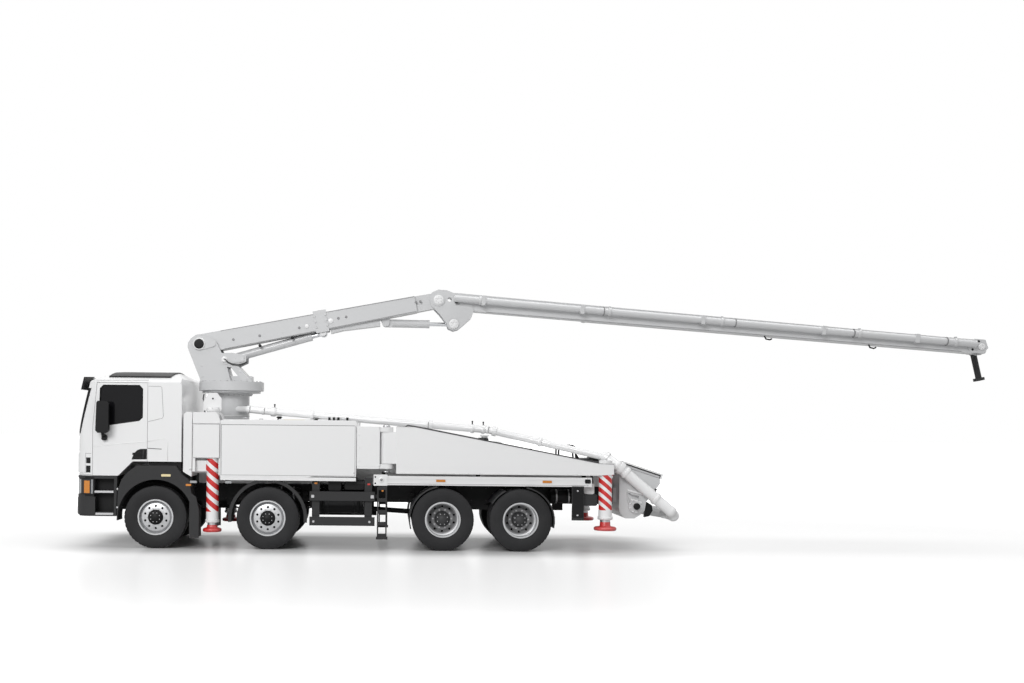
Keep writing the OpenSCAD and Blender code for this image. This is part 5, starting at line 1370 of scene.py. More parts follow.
@dataclass(frozen=True)
class Cab:
    """Wipers, vents, lamps, steps, creases and seams of the cab."""

    places: Places
    face: float = 1.235
    corner: Flat = (-1.11, 0.955)
    corner_radius: float = 0.2815
    screen_foot: Flat = (-1.385, 1.94)
    screen_lean: float = 0.2656

    def _glass(self, y: float, z: float, out: float) -> Point:
        """A point before the windscreen."""
        return (self.screen_foot[0] + (z - self.screen_foot[1]) * self.screen_lean - out, y, z)

    def _band(self, solid: Solid, ends: Flat, levels: Flat, proud: float, finish: Finish,
              back: float = 0.006) -> None:
        """Adds a plate that follows the cab's front corner, left side.

        Args:
            solid: Where it goes.
            ends: Its front end, and its rear end on the corner or on the side face.
            levels: Its lower and upper edge.
            proud: How far it stands out.
            finish: Its finish.
            back: How deep it goes in.
        """
        cx, cy = self.corner
        radius = self.corner_radius
        a0 = math.asin(min(1.0, (cx - ends[0]) / radius))
        a1 = math.asin(max(0.0, cx - ends[1]) / radius)
        skins = []
        for reach in (radius + proud, radius - back):
            angles = [a0 + (a1 - a0) * i / 8 for i in range(9)]
            skins.append([(cx - reach * math.sin(a), -cy - reach * math.cos(a)) for a in angles])
            if ends[1] > cx:
                skins[-1].append((ends[1], -cy - reach))
        solid.plan(skins[0] + skins[1][::-1], *levels, finish)

    def _front(self) -> None:
        """Adds the wipers, the grille's frame and the sill under the windscreen."""
        solid = self.places.solid("cab_front_fittings")
        for y, reach in ((-0.62, 0.55), (0.02, 0.58)):
            solid.rod(self._glass(y, 2.03, 0.03), self._glass(y, 2.03, -0.02), 0.02, Finish.BLACK, 12)
            arm = ((0.0, 2.035, 0.026), (0.5, 2.15, 0.034), (0.98, 2.27, 0.022))
            blade = ((0.12, 2.10, 0.012), (1.75, 2.42, 0.012))
            for path, radius in ((arm, 0.008), (blade, 0.009)):
                points = [self._glass(y + reach * share, z, out) for share, z, out in path]
                solid.tube(points, radius, Finish.BLACK, 8)
        for z in (1.92, 1.27):
            solid.block((-1.398, -0.83, z), (-1.372, 0.83, z + 0.028), Finish.BLACK, 0.006)
        for y in (-0.83, 0.80):
            solid.block((-1.398, y, 1.27), (-1.372, y + 0.03, 1.948), Finish.BLACK, 0.006)
        for y in (-0.34, 0.34):
            solid.hexagon((-1.39, y, 0.66), (-1, 0, 0), 0.03, 0.012, Finish.STEEL)
        solid.rod((-1.405, 0.0, 0.79), (-1.37, 0.0, 0.79), 0.05, Finish.BLACK, 24, 0.01)
        solid.block((-1.413, -0.26, 0.62), (-1.405, 0.26, 0.73), Finish.DARK)
        solid.done("carrier", bevel=0.002)

    def _corners(self) -> None:
        """Adds vents, headlamp parts and the corner's seams on both sides."""
        solid = self.places.solid("cab_corner_fittings")
        for z0, z1 in ((1.30, 1.42), (1.46, 1.56)):
            self._band(solid, (-1.205, -1.125), (z0, z1), 0.001, Finish.BLACK)
            for i in range(3):
                z = z0 + 0.02 + i * (z1 - z0 - 0.04) / 2
                self._band(solid, (-1.20, -1.13), (z - 0.003, z + 0.003), 0.005, Finish.DARK, 0.0)
        # Ends, levels, height, finish and depth
        bands = (
            ((-1.389, -1.112), (1.628, 1.634), 0.0012, Finish.SEAM, 0.006),
            ((-1.389, -1.112), (1.262, 1.268), 0.0012, Finish.SEAM, 0.006),
            ((-1.30, -1.112), (0.922, 1.203), 0.0030, Finish.DARK, 0.02),
            ((-1.237, -1.135), (0.945, 1.160), 0.0070, Finish.AMBER, 0.02),
            # The black band under the headlamp is painted shadow between headlamp and bumper
            ((-1.389, -1.06), (0.893, 0.937), 0.0045, Finish.BLACK, 0.02),
            ((-1.389, -1.06), (1.183, 1.227), 0.0045, Finish.BLACK, 0.02),
            ((-1.3895, -1.035), (0.570, 0.880), 0.010, Finish.DARK, 0.03),
            ((-1.3895, -1.035), (0.590, 0.860), 0.016, Finish.DARK, 0.03),
            ((-1.389, -1.215), (1.300, 1.640), 0.014, Finish.WHITE, 0.02),
        )
        for row in bands:
            self._band(solid, *row)
        self._pillar(solid)
        solid.done("carrier", mirrored=True)

    def _pillar(self, solid: Solid, foot: float = 1.975, height: float = 0.785, levels: int = 24) -> None:
        """Adds the black rubber that runs down the windscreen's edge, left side.

        Args:
            solid: Where it goes.
            foot: Its lower end.
            height: Its height.
            levels: How many rows of corners it has.
        """
        cx, cy = self.corner
        points = []
        for level in range(levels):
            front, _, z = self._glass(0.0, foot + height * level / (levels - 1), 0.0)
            for proud in (-0.012, 0.0025):
                for step in (-0.002, 0.014, 0.030, 0.046):
                    back = min(0.0, front + step - cx)
                    reach = math.sqrt(max(0.0, self.corner_radius ** 2 - back * back))
                    points.append((front + step, -cy - reach - proud, z))
        quads = []
        for base in range(0, 8 * (levels - 1), 8):
            quads += [(base + i, base + i + 1, base + i + 9, base + i + 8) for i in (0, 1, 2, 4, 5, 6)]
            quads += [(base + i, base + i + 4, base + i + 12, base + i + 8) for i in (0, 3)]
        for base in (0, 8 * (levels - 1)):
            quads += [(base + i, base + i + 1, base + i + 5, base + i + 4) for i in range(3)]
        solid.faces(points, quads, Finish.BLACK)

    def _sides(self) -> None:
        """Adds steps, seams, lamps and the fixed part of the pressed crease on both sides."""
        solid = self.places.solid("cab_side_fittings")
        lines = (
            (((-0.135, 2.80), (0.07, 2.80), (0.095, 2.78), (0.125, 2.29), (0.11, 2.25), (-0.135, 2.19)),
             0.003, Finish.SEAM),
            (((-0.14, 1.845), (0.13, 1.90), (0.18, 1.885), (0.205, 1.83), (0.205, 1.52)),
             0.005, Finish.WHITE),
            (((-0.14, 1.728), (0.10, 1.716)), 0.005, Finish.BLACK),
            (((-1.03, 2.895), (-0.13, 2.905)), 0.004, Finish.SEAM),
        )
        for path, radius, finish in lines:
            solid.wire(path, -self.face - 0.0005, radius, finish)
        for z in (0.967, 0.585):
            solid.block((-1.05, -self.face - 0.003, z - 0.013), (-0.725, -self.face + 0.12, z + 0.022),
                        Finish.STEEL, 0.004)
        for x in (-0.99, -0.93, -0.87, -0.81):
            solid.block((x, -self.face + 0.01, 0.988), (x + 0.02, -self.face + 0.11, 0.994), Finish.BLACK)
        solid.block((0.10, -self.face - 0.012, 1.243), (0.262, -self.face + 0.01, 1.285),
                    Finish.PALE_AMBER, 0.008)
        solid.block((0.525, -self.face - 0.012, 1.085), (0.615, -self.face + 0.06, 1.12), Finish.AMBER, 0.006)
        solid.bolts(((-0.66, 1.02), (-0.66, 0.70)), -self.face + 0.002, 0.022, 0.008, Finish.STEEL)
        solid.tube([(0.30, -1.20, 1.52), (0.30, -1.20, 1.58), (0.34, -1.15, 1.62)], 0.012, Finish.BLACK)
        solid.block((-0.13, -1.17, 1.33), (0.43, -1.14, 1.56), Finish.BLACK)
        flap = ((0.588, 0.19), (0.752, 0.19), (0.752, 0.66), (0.700, 0.90), (0.588, 0.98))
        solid.side(flap, -1.2335, -1.212, Finish.DARK)
        solid.done("carrier", mirrored=True)

    def _doors(self) -> None:
        """Adds the crease, window rubber, grip and mirror parts to each door."""
        crease = ((-1.083, 1.752), (-0.62, 1.80), (-0.157, 1.845))
        window = ((-0.985, 2.17), (-0.970, 2.76), (-0.915, 2.814), (-0.290, 2.814), (-0.235, 2.754),
                  (-0.235, 2.26), (-0.290, 2.205), (-0.925, 2.11), (-0.985, 2.17))
        recess = ((-0.430, 1.535), (-0.150, 1.560), (-0.150, 1.590), (-0.430, 1.730))
        grip = ((-0.419, 1.531), (-0.153, 1.537), (-0.153, 1.718), (-0.262, 1.716), (-0.322, 1.695),
                (-0.367, 1.650), (-0.398, 1.590))
        foot = ((-0.885, 1.26, 1.93), (-0.89, 1.33, 1.96), (-0.89, 1.36, 2.0))
        for side, out in SIDES:
            solid = self.places.solid(f"door_{side}_fittings")
            face = out * (self.face + 0.0005)
            solid.wire(crease, face, 0.005, Finish.WHITE)
            solid.wire(window, face - out * 0.004, 0.008, Finish.BLACK)
            solid.side(recess, face - out * 0.008, face, Finish.WHITE)
            solid.side(grip, face - out * 0.004, face + out * 0.0012, Finish.BLACK)
            solid.rod((-0.215, out * 1.245, 1.55), (-0.205, out * 1.245, 1.705), 0.016, Finish.DARK, 12)
            solid.rod((-0.885, out * 1.19, 2.02), (-0.885, out * 1.405, 2.02), 0.011, Finish.BLACK, 10)
            solid.tube([(x, out * y, z) for x, y, z in foot], 0.03, Finish.BLACK, 12)
            solid.block((-0.93, out * 1.226, 1.86), (-0.84, out * 1.29, 1.955), Finish.BLACK, 0.02)
            solid.done(f"door_{side}", bevel=0.002)

    def build(self) -> None:
        """Makes every piece of the cab."""
        self._front()
        self._corners()
        self._sides()
        self._doors()


@dataclass(frozen=True)
class Bodywork:
    """Covers, seams, markers, guards and rail fittings of the side bodies."""

    places: Places
    face: float = 1.240
    cover: tuple[float, float, float, float] = (1.135, 3.438, 1.285, 2.146)
    beam_notch: Flat = (1.30, 1.572)

    def _covers(self) -> None:
        """Adds the large bare covers, the right one notched where its outrigger's beam slides out."""
        x0, x1, z0, z1 = self.cover
        for side, out in SIDES:
            solid = self.places.solid("body_cover_" + side)
            notch_x, notch_z = self.beam_notch if out > 0 else (x0, z0)
            for grow, proud, finish in ((0.006, 0.0012, Finish.SEAM), (0.0, 0.003, Finish.WHITE)):
                outline = [(x1 + grow, z0 - grow), (x1 + grow, z1 + grow), (x0 - grow, z1 + grow)]
                if out > 0:
                    outline += [(x0 - grow, notch_z - grow), (notch_x - grow, notch_z - grow)]
                outline.append((notch_x - grow, z0 - grow))
                solid.side(outline, out * (self.face + proud), out * (self.face - 0.004), finish)
            solid.done("carrier", bevel=0.001)

    def _around(self) -> None:
        """Adds the small fittings round the covers."""
        solid = self.places.solid("body_covers")
        solid.bolts(((0.60, 1.37), (3.43, 1.335)), -self.face, 0.026, 0.010, Finish.STEEL)
        for x0, x1 in ((0.59, 0.71), (1.20, 1.31)):
            solid.block((x0, -self.face + 0.02, 1.135), (x1, -self.face + 0.05, 1.175), Finish.LAMP, 0.006)
            solid.block((x0, -self.face + 0.05, 1.14), (x0 + 0.028, -self.face + 0.09, 1.26), Finish.CHASSIS)
        solid.block((3.475, -1.2365, 1.46), (3.868, -1.233, 2.09), Finish.WHITE)
        solid.bolts([(3.51, z) for z in (1.55, 1.78, 2.0)], -1.2365, 0.022, 0.008, Finish.WHITE)
        solid.done("carrier", bevel=0.001, mirrored=True)

    def _lips(self) -> None:
        """Adds the steel lips along the bodies, deck boxes, lifting eyes and walkway studs."""
        solid = self.places.solid("body_lips")
        solid.block((1.16, -1.236, 2.229), (3.44, -1.20, 2.242), Finish.WHITE, 0.003)
        solid.block((1.118, -1.2385, 1.193), (3.46, -1.214, 1.254), Finish.WHITE, 0.004)
        for x, long in ((2.05, 0.62), (2.75, 0.30)):
            solid.block((x, -0.62, 2.225), (x + long, -0.50, 2.262), Finish.WHITE, 0.006)
        solid.block((2.14, -0.624, 2.236), (2.52, -0.60, 2.250), Finish.PALE_AMBER, 0.002)
        for x in (2.96, 3.04, 3.12, 3.28):
            solid.rod((x, -0.66, 2.20), (x, -0.66, 2.30), 0.022, Finish.BLACK, 16, 0.004)
        for x in (1.5, 3.2):
            eye = ((x, 2.225), (x, 2.27), (x + 0.06, 2.27), (x + 0.06, 2.225))
            solid.wire(eye, -1.15, 0.008, Finish.STEEL, 10)
        studs = Repeat("walkway_studs", Shape.BOLT, 18, (0.016, 0.016, 0.004), step=(0.10, 0.0, 0.0), sides=8)
        row = studs.mesh(Finish.STEEL)
        for y in (-1.10, -1.00, -0.90, -0.80, -0.70):
            solid.take(row, Finish.STEEL, Matrix.Translation((1.55, y, 2.2315)))
        solid.done("carrier", bevel=0.001, mirrored=True)

    def _guards(self) -> None:
        """Adds bolts, lamps and boxes to the side guards and the ladder."""
        solid = self.places.solid("guard_fittings")
        # Place along and up, size, and the face that the pale bolt plate sits on
        plates = ((2.715, 0.925, 0.05, -1.1995), (3.745, 0.925, 0.055, -1.1995), (2.75, 0.66, 0.036, -1.1445),
                  (3.68, 0.66, 0.036, -1.1445), (2.73, 0.49, 0.036, -1.1995), (3.70, 0.49, 0.036, -1.1995))
        for x, z, size, y in plates:
            half = size / 2
            solid.block((x - half, y - 0.006, z - half), (x + half, y + 0.004, z + half), Finish.STEEL, 0.006)
        solid.block((2.74, -1.165, 1.135), (2.79, -1.14, 1.165), Finish.AMBER, 0.006)
        solid.block((3.66, -1.165, 1.125), (3.71, -1.14, 1.155), Finish.RED_LENS, 0.006)
        solid.block((3.905, -1.219, 1.02), (3.94, -1.205, 1.045), Finish.AMBER, 0.006)
        for x in (4.93, 6.775):
            solid.block((x - 0.08, -1.178, 1.192), (x + 0.08, -1.160, 1.232), Finish.AMBER, 0.006)
        spots = [(x, z) for x in (3.85, 7.47) for z in (1.155, 1.265)]
        solid.bolts(spots, -1.17, 0.02, 0.008, Finish.STEEL)
        solid.block((3.83, -1.1702, 1.150), (7.49, -1.166, 1.156), Finish.SEAM)
        solid.block((7.43, -1.178, 1.19), (7.53, -1.169, 1.26), Finish.BLACK, 0.01)
        solid.block((3.766, -1.190, 1.118), (4.007, -1.165, 1.312), Finish.WHITE, 0.01)
        solid.rod((3.90, -1.185, 1.222), (3.90, -1.200, 1.222), 0.050, Finish.WHITE, 32, 0.004)
        solid.rod((3.90, -1.195, 1.222), (3.90, -1.206, 1.222), 0.024, Finish.GREY_METAL_AND_SHADE, 24, 0.003)
        solid.bolts(((3.795, 1.16), (3.795, 1.27)), -1.190, 0.02, 0.008, Finish.BLACK)
        solid.done("carrier", bevel=0.001, mirrored=True)

    def _boxes(self) -> None:
        """Adds the boxes behind the guards and the flap before the rear jacks."""
        solid = self.places.solid("guard_boxes")
        for x0, x1, z0, z1 in ((2.98, 3.20, 1.02, 1.22), (3.26, 3.60, 1.04, 1.20)):
            solid.block((x0, -1.10, z0), (x1, -0.80, z1), Finish.BLACK, 0.02)
            solid.block((x0 - 0.006, -1.105, z1 - 0.05), (x1 + 0.006, -0.80, z1 - 0.035), Finish.DARK, 0.004)
        solid.block((7.215, -1.212, 0.60), (7.395, -1.199, 1.12), Finish.BLACK, 0.01)
        solid.bolts(((7.30, 0.64), (7.30, 1.06)), -1.212, 0.022, 0.008, Finish.STEEL)
        solid.block((7.44, -1.02, 1.0), (7.62, -0.80, 1.18), Finish.WHITE, 0.02)
        solid.done("carrier", bevel=0.003, mirrored=True)

    def build(self) -> None:
        """Makes every piece of the bodywork."""
        self._covers()
        self._around()
        self._lips()
        self._guards()
        self._boxes()


@dataclass(frozen=True)
class Outriggers:
    """Plain skins, edge strips, bolts, hoses and feet of the four outriggers."""

    places: Places
    leg_face: float = 1.230
    hinge_x: float = 3.98
    front_jack: Flat = (0.966, 1.105)
    rear_jack: Flat = (7.80, 1.085)

    def _front(self, side: str, out: float) -> None:
        """Adds a front outrigger's panel seam, eye ring and hose.

        Args:
            side: left or right.
            out: -1 on the left and 1 on the right.
        """
        solid = self.places.solid(f"outrigger_front_{side}_fittings")
        x, y = self.front_jack
        inner, face = out * 1.226, out * 1.2375
        rim = ((0.640, 1.578), (1.094, 1.578), (1.094, 2.152), (0.640, 2.152), (0.640, 1.578))
        solid.wire(rim, out * 1.2385, 0.0028, Finish.SEAM, 6)
        head = ((0.636, 2.168), (1.106, 2.168), (1.104, 2.225), (1.075, 2.312), (1.030, 2.362),
                (0.636, 2.362))
        solid.side(head, inner, face, Finish.WHITE)
        solid.block((0.70, out * 1.10, 2.20), (0.74, out * 1.23, 2.24), Finish.WHITE)
        solid.block((0.634, inner, 1.335), (0.682, face, 1.568), Finish.WHITE)
        solid.block((1.086, inner, 1.275), (1.108, face, 1.568), Finish.WHITE)
        collar = ((0.112, 0.0), (0.122, 0.004), (0.122, 0.045), (0.112, 0.05), (0.100, 0.05), (0.100, 0.0))
        for z in (0.455, 2.38):
            solid.revolve(collar, (x, out * y, z), UP, Finish.WHITE, 40, closed=True)
        for bolt_x, bolt_y in circle((x, y), 0.117, 6):
            solid.hexagon((bolt_x, out * bolt_y, 2.43), UP, 0.016, 0.008, Finish.STEEL)
        solid.hoop((0.016, 0.040), (-0.026, 0.026), (0.960, out * y, 2.600), RIGHT, Finish.WHITE)
        solid.rod((0.960, out * y - 0.02, 2.600), (0.960, out * y + 0.02, 2.600), 0.018, Finish.BLACK, 24)
        hose = ((0.83, 2.30), (0.79, 2.42), (0.80, 2.52), (0.775, 2.60), (0.79, 2.68))
        solid.wire(hose, out * (y - 0.07), 0.011, Finish.HOSE, 10)
        solid.rod((0.86, out * (y - 0.05), 2.29), (0.83, out * (y - 0.07), 2.31), 0.017, Finish.STEEL, 6)
        solid.done(f"outrigger_front_{side}", bevel=0.001)

    def _rear(self, side: str, out: float) -> None:
        """Adds a rear leg's plain skin, top edge, hinge bolts and hose.

        Args:
            side: left or right.
            out: -1 on the left and 1 on the right.
        """
        solid = self.places.solid(f"outrigger_rear_{side}_fittings")
        x, y = self.rear_jack
        field = ((4.304, 1.439), (4.304, 2.036), (4.556, 2.036), (7.421, 1.511), (7.421, 1.409))
        solid.side(field, out * (self.leg_face - 0.008), out * (self.leg_face + 0.0006), Finish.WHITE)
        inner, proud = out * (self.leg_face - 0.02), out * (self.leg_face + 0.004)
        edge = ((4.16, 2.140), (4.455, 2.140), (7.66, 1.536), (7.915, 1.526), (7.915, 1.5335),
                (7.66, 1.5435), (4.455, 2.1475), (4.16, 2.1475))
        solid.side(edge, inner, proud, Finish.SEAM)
        for z in (1.345, 1.33):
            solid.block((4.18, inner, z), (7.62, proud, z + 0.006), Finish.WHITE, 0.001)
        collar = ((0.118, 0.0), (0.130, 0.005), (0.130, 0.05), (0.118, 0.055), (0.105, 0.055), (0.105, 0.0))
        solid.revolve(collar, (x, out * y, 0.565), UP, Finish.WHITE, 40, closed=True)
        for low, high in ((2.13, 2.165), (1.345, 1.375)):
            foot, top = (self.hinge_x, out * y, low), (self.hinge_x, out * y, high)
            solid.rod(foot, top, 0.062, Finish.STEEL, 32, 0.006)
        for bolt_x, bolt_y in circle((self.hinge_x, y), 0.042, 6, 0.0):
            solid.hexagon((bolt_x, out * bolt_y, 2.165), UP, 0.014, 0.008, Finish.STEEL)
        hose = ((4.25, 2.10), (4.35, 2.17), (4.6, 2.13), (5.6, 1.94), (6.8, 1.71), (7.5, 1.58), (7.72, 1.56),
                (7.78, 1.57))
        solid.wire(hose, out * (y - 0.06), 0.011, Finish.HOSE)
        for px, pz in ((4.9, 2.06), (5.7, 1.91), (6.5, 1.76), (7.3, 1.605)):
            solid.block((px - 0.02, out * (y - 0.09), pz - 0.005), (px + 0.02, out * (y - 0.03), pz + 0.024),
                        Finish.BLACK, 0.004)
        solid.done(f"outrigger_rear_{side}")

    def _feet(self, side: str, out: float) -> None:
        """Adds the turned red feet with their collars.

        Args:
            side: left or right.
            out: -1 on the left and 1 on the right.
        """
        rows = (("front", self.front_jack, 0.29, 0.160, 0.40), ("rear", self.rear_jack, 0.376, 0.1925, 0.52))
        for name, (x, y), z, radius, top in rows:
            solid = self.places.solid(f"foot_{name}_{side}")
            profile = [(0.0, 0.002), (radius - 0.02, 0.002), (radius + 0.002, 0.012), (radius + 0.003, 0.045),
                       (radius - 0.02, 0.062), (0.105, 0.070), (0.092, 0.085), (0.090, top - z),
                       (0.080, top - z + 0.012), (0.0, top - z + 0.012)]
            solid.revolve(profile, (x, out * y, z), UP, Finish.RED, 48)
            solid.done(f"jack_{name}_{side}", slot="jack_steel")

    def build(self) -> None:
        """Makes every piece of the outriggers."""
        for side, out in SIDES:
            self._front(side, out)
            self._rear(side, out)
            self._feet(side, out)


@dataclass(frozen=True)
class Boom:
    """Pins, collars, couplings, bolts, hooks and lines of the turret and the arms."""

    places: Places
    pivot: Flat = (0.551, 3.616)
    elbow: Flat = (4.90205, 4.46964)
    lift_base: Flat = (1.010, 3.334)
    lift_top: Flat = (2.800, 3.850)
    rise: float = 11.1
    fall: float = -4.38
    arm_2_length: float = 9.958
    arm_2_start: float = 0.28
    arm_2_end: float = 0.15
    pipe_y: float = -0.2275
    slew: float = 1.12
    photo_column: float = 393.0
    photo_x: float = 4.093
    pixel: float = 0.0184

    def _pin(self, solid: Solid, spot: Flat, face: float, radius: float) -> None:
        """Adds a pin's end cover with its retaining bolts.

        Args:
            solid: Where it goes.
            spot: Its centre (x, z).
            face: The face that it sits on, whose sign is its direction.
            radius: Its radius.
        """
        out = math.copysign(1.0, face)
        profile = [(0.0, 0.0), (radius * 1.25, 0.0), (radius * 1.28, 0.004), (radius * 1.25, 0.010),
                   (radius, 0.012), (radius * 0.96, 0.020), (radius * 0.4, 0.021), (radius * 0.36, 0.012),
                   (0.0, 0.012)]
        solid.revolve(profile, (spot[0], face, spot[1]), (0, out, 0), Finish.WHITE, 40)
        bolts = circle(spot, radius * 0.74, 6)
        solid.bolts(bolts, face + out * 0.016, radius * 0.2, radius * 0.12, Finish.STEEL)

    def _hole_shade(self, solid: Solid, spot: Flat, face: float, radius: float, steps: int) -> None:
        """Adds a flat black disc to the left of an arm, painted shade standing for a hole.

        Args:
            solid: Where it goes.
            spot: Its centre (x, z).
            face: The face that it sits on.
            radius: Its radius.
            steps: Faces round.
        """
        profile = ((0.0, 0.0), (radius, 0.0), (radius, 0.003), (0.0, 0.004))
        solid.revolve(profile, (spot[0], face, spot[1]), LEFT, Finish.BLACK, steps)

    def _painted_light_strip(self, solid: Solid, a: Flat, b: Flat, height: float, faces: Flat, finish: Finish) -> None:
        """Adds a strip along an arm's edge, a dark one as painted shade and a white one as a painted
        highlight.

        Args:
            solid: Where it goes.
            a: Its lower front corner.
            b: Its lower rear corner.
            height: Its height.
            faces: Its two faces across Y.
            finish: The finish.
        """
        solid.side([a, b, (b[0], b[1] + height), (a[0], a[1] + height)], *faces, finish)

    def _turret(self) -> None:
        """Adds the turret's pin covers, the pivot's black disc of painted shade, bolts and hose."""
        solid = self.places.solid("turret_fittings")
        x, z = self.pivot
        # The flat black disc in the pivot's boss is painted shade standing for the boss's bore
        cap = ((0.0, 0.0), (0.088, 0.0), (0.088, 0.003), (0.070, 0.004), (0.0, 0.0045))
        rim = ((0.088, 0.0), (0.108, 0.0), (0.110, 0.008), (0.090, 0.010))
        bolts = ((0.62, 3.02), (0.60, 3.22), (1.22, 3.35), (1.33, 3.36), (1.43, 3.0), (1.30, 3.12))
        for _, out in SIDES:
            solid.revolve(cap, (x, out * 0.2401, z), (0, out, 0), Finish.BLACK, 40)
            solid.revolve(rim, (x, out * 0.228, z), (0, out, 0), Finish.WHITE, 40, closed=True)
            self._pin(solid, self.lift_base, out * 0.222, 0.045)
            solid.bolts(bolts, out * 0.2105, 0.026, 0.012, Finish.STEEL)
        ring = Repeat("ring_bolts", Shape.BOLT, 28, (0.03, 0.03, 0.02), 0.545).mesh(Finish.STEEL)
        solid.take(ring, Finish.STEEL, Matrix.Translation((self.slew, 0.0, 2.938)))
        hose = [(1.02, -0.236, 3.345), (1.08, -0.236, 3.285), (1.16, -0.236, 3.250),
                (1.26, -0.236, 3.238), (1.36, -0.236, 3.262), (1.42, -0.225, 3.292)]
        solid.tube(hose, 0.013, Finish.HOSE)
        solid.done("turret", slot="white_paint")

    def _column(self) -> None:
        """Adds the flange bolts and the drive under the slewing ring."""
        solid = self.places.solid("pedestal_fittings")
        drive = ((0.0, 0.0), (0.11, 0.0), (0.11, 0.16), (0.08, 0.19), (0.08, 0.30), (0.0, 0.31))
        solid.revolve(drive, (self.slew + 0.05, 0.45, 2.40), UP, Finish.CHASSIS, 32)
        ring = Repeat("flange_bolts", Shape.BOLT, 24, (0.028, 0.028, 0.018), 0.36).mesh(Finish.STEEL)
        solid.take(ring, Finish.STEEL, Matrix.Translation((self.slew, 0.0, 2.690)))
        band = ((0.326, 0.0), (0.334, 0.003), (0.334, 0.017), (0.326, 0.02))
        for z in (2.30, 2.68):
            solid.revolve(band, (self.slew, 0.0, z), UP, Finish.WHITE, 64, closed=True)
        solid.done("carrier", slot="bare_steel")

    def _arm_1(self) -> None:
        """Adds the first arm's dark edge strips of painted shade, collar bolts and bosses."""
        solid = self.places.solid("arm_1_fittings")
        # The dark strips along the arm's top and bottom edges are painted shade
        upper, lower = (0.165, 0.132), (-0.172, -0.139)
        collar = [along(self.lift_top, self.rise, t, 0.21 + lift) for t in (-0.10, 0.10)
                  for lift in (-0.10, 0.0, 0.10)]
        for _, out in SIDES:
            for near, far in (upper, lower) if out < 0 else (lower,):
                a, b = along(self.pivot, self.rise, 0.42, near), along(self.pivot, self.rise, 4.0, far)
                self._painted_light_strip(solid, a, b, 0.008, (out * 0.155, out * 0.1645), Finish.SEAM)
            if out < 0:
                solid.bolts(collar, -0.1722, 0.030, 0.014, Finish.PIPE)
            self._pin(solid, self.lift_top, out * 0.120, 0.05)
        bolts = ((0.62, -0.03), (1.105, -0.05), (1.84, -0.04), (2.574, 0.0), (2.718, 0.0), (4.02, 0.03),
                 (4.10, 0.03))
        spots = [along(self.pivot, self.rise, t, lift) for t, lift in bolts]
        solid.bolts(spots, -0.1603, 0.034, 0.012, Finish.GREY_METAL_AND_SHADE)
        for t, lift, radius in ((1.984, -0.035, 0.036), (2.43, -0.02, 0.046)):
            x, z = along(self.pivot, self.rise, t, lift)
            boss = [(0.0, 0.0), (radius, 0.0), (radius, 0.010), (radius * 0.8, 0.014), (0.0, 0.015)]
            solid.revolve(boss, (x, -0.1602, z), LEFT, Finish.WHITE, 32)
        belly = ((2.94, 3.84), (3.16, 3.895), (3.84, 3.985), (3.84, 4.10), (2.94, 3.93))
        solid.side(belly, -0.10, 0.10, Finish.GREY_AND_SHADE)
        for x, z in ((1.65, 3.60), (2.24, 3.75)):
            solid.rod((x, -0.13, z), (x, -0.165, z), 0.028, Finish.BLACK, 20)
        solid.done("arm_1", bevel=0.001)

    def _on_arm_2(self, distance: float, lift: float) -> Flat:
        """A point beside the second arm's middle line."""
        return along(self.elbow, self.fall, self.arm_2_start + distance, lift)

    def _distance(self, column: float) -> float:
        """The distance along the second arm that shows at a column of the photo."""
        x = (column - self.photo_column) * self.pixel + self.photo_x
        return (x - self._on_arm_2(0.0, 0.0)[0]) / math.cos(math.radians(self.fall))

    def _arm_2(self) -> None:
        """Adds the second arm's couplings, hooks, edge strips of painted shade and painted highlight, and
        pins.
        """
        solid = self.places.solid("arm_2_fittings")
        x, z = self.elbow
        reach = self.arm_2_length - self.arm_2_start - self.arm_2_end
        for dx, dz in ((0.0, 0.0), (0.2839, -0.4396)):
            for _, out in SIDES:
                self._pin(solid, (x + dx, z + dz), out * 0.160, 0.07)
        # Flat black discs painted as the shade in the arm's holes
        for dx, dz in ((0.33, -0.03), (0.41, 0.0)):
            self._hole_shade(solid, (x + dx, z + dz), -0.1612, 0.034, 24)
        lean = math.radians(self.fall)
        axis = (math.cos(lean), 0.0, math.sin(lean))
        collar = ((0.060, -0.028), (0.074, -0.026), (0.078, -0.016), (0.078, 0.016), (0.074, 0.026),
                  (0.060, 0.028))
        # The photo's columns of the couplings and of the rings beside them
        couplings, rings = (478, 606, 717, 853, 948), (600, 730, 847, 939)
        for column in sorted(couplings + rings):
            t = self._distance(column)
            x, z = self._on_arm_2(t, 0.040 - 0.010 * t / reach)
            if column in rings:
                solid.hoop((0.060, 0.081), (-0.006, 0.006), (x, self.pipe_y, z), axis, Finish.SEAM, 40)
                continue
            solid.revolve(collar, (x, self.pipe_y, z), axis, Finish.PIPE, 40, closed=True)
            low, high = (x - 0.022, self.pipe_y - 0.016, z + 0.07), (x + 0.022, self.pipe_y + 0.016, z + 0.10)
            solid.block(low, high, Finish.STEEL, 0.006)
        for _, out in SIDES:
            # The dark strip at the bottom edge is painted shade, the white strip at the top edge a painted
            # highlight
            for near, far, finish in ((-0.150, -0.118, Finish.SEAM), (0.144, 0.112, Finish.WHITE)):
                a, b = self._on_arm_2(0.6, near), self._on_arm_2(reach - 0.2, far)
                self._painted_light_strip(solid, a, b, 0.007, (out * 0.112, out * 0.1245), finish)
        for column in (766, 870):
            t = self._distance(column)
            x, z = self._on_arm_2(t, -0.153 + 0.032 * t / reach)
            hook = ((x - 0.05, z + 0.01), (x - 0.02, z - 0.05), (x + 0.05, z - 0.065), (x + 0.09, z - 0.045))
            solid.wire(hook, -0.03, 0.014, Finish.BLACK, 10)
        tip = along(self.elbow, self.fall, self.arm_2_length)
        self._pin(solid, tip, -0.1445, 0.05)
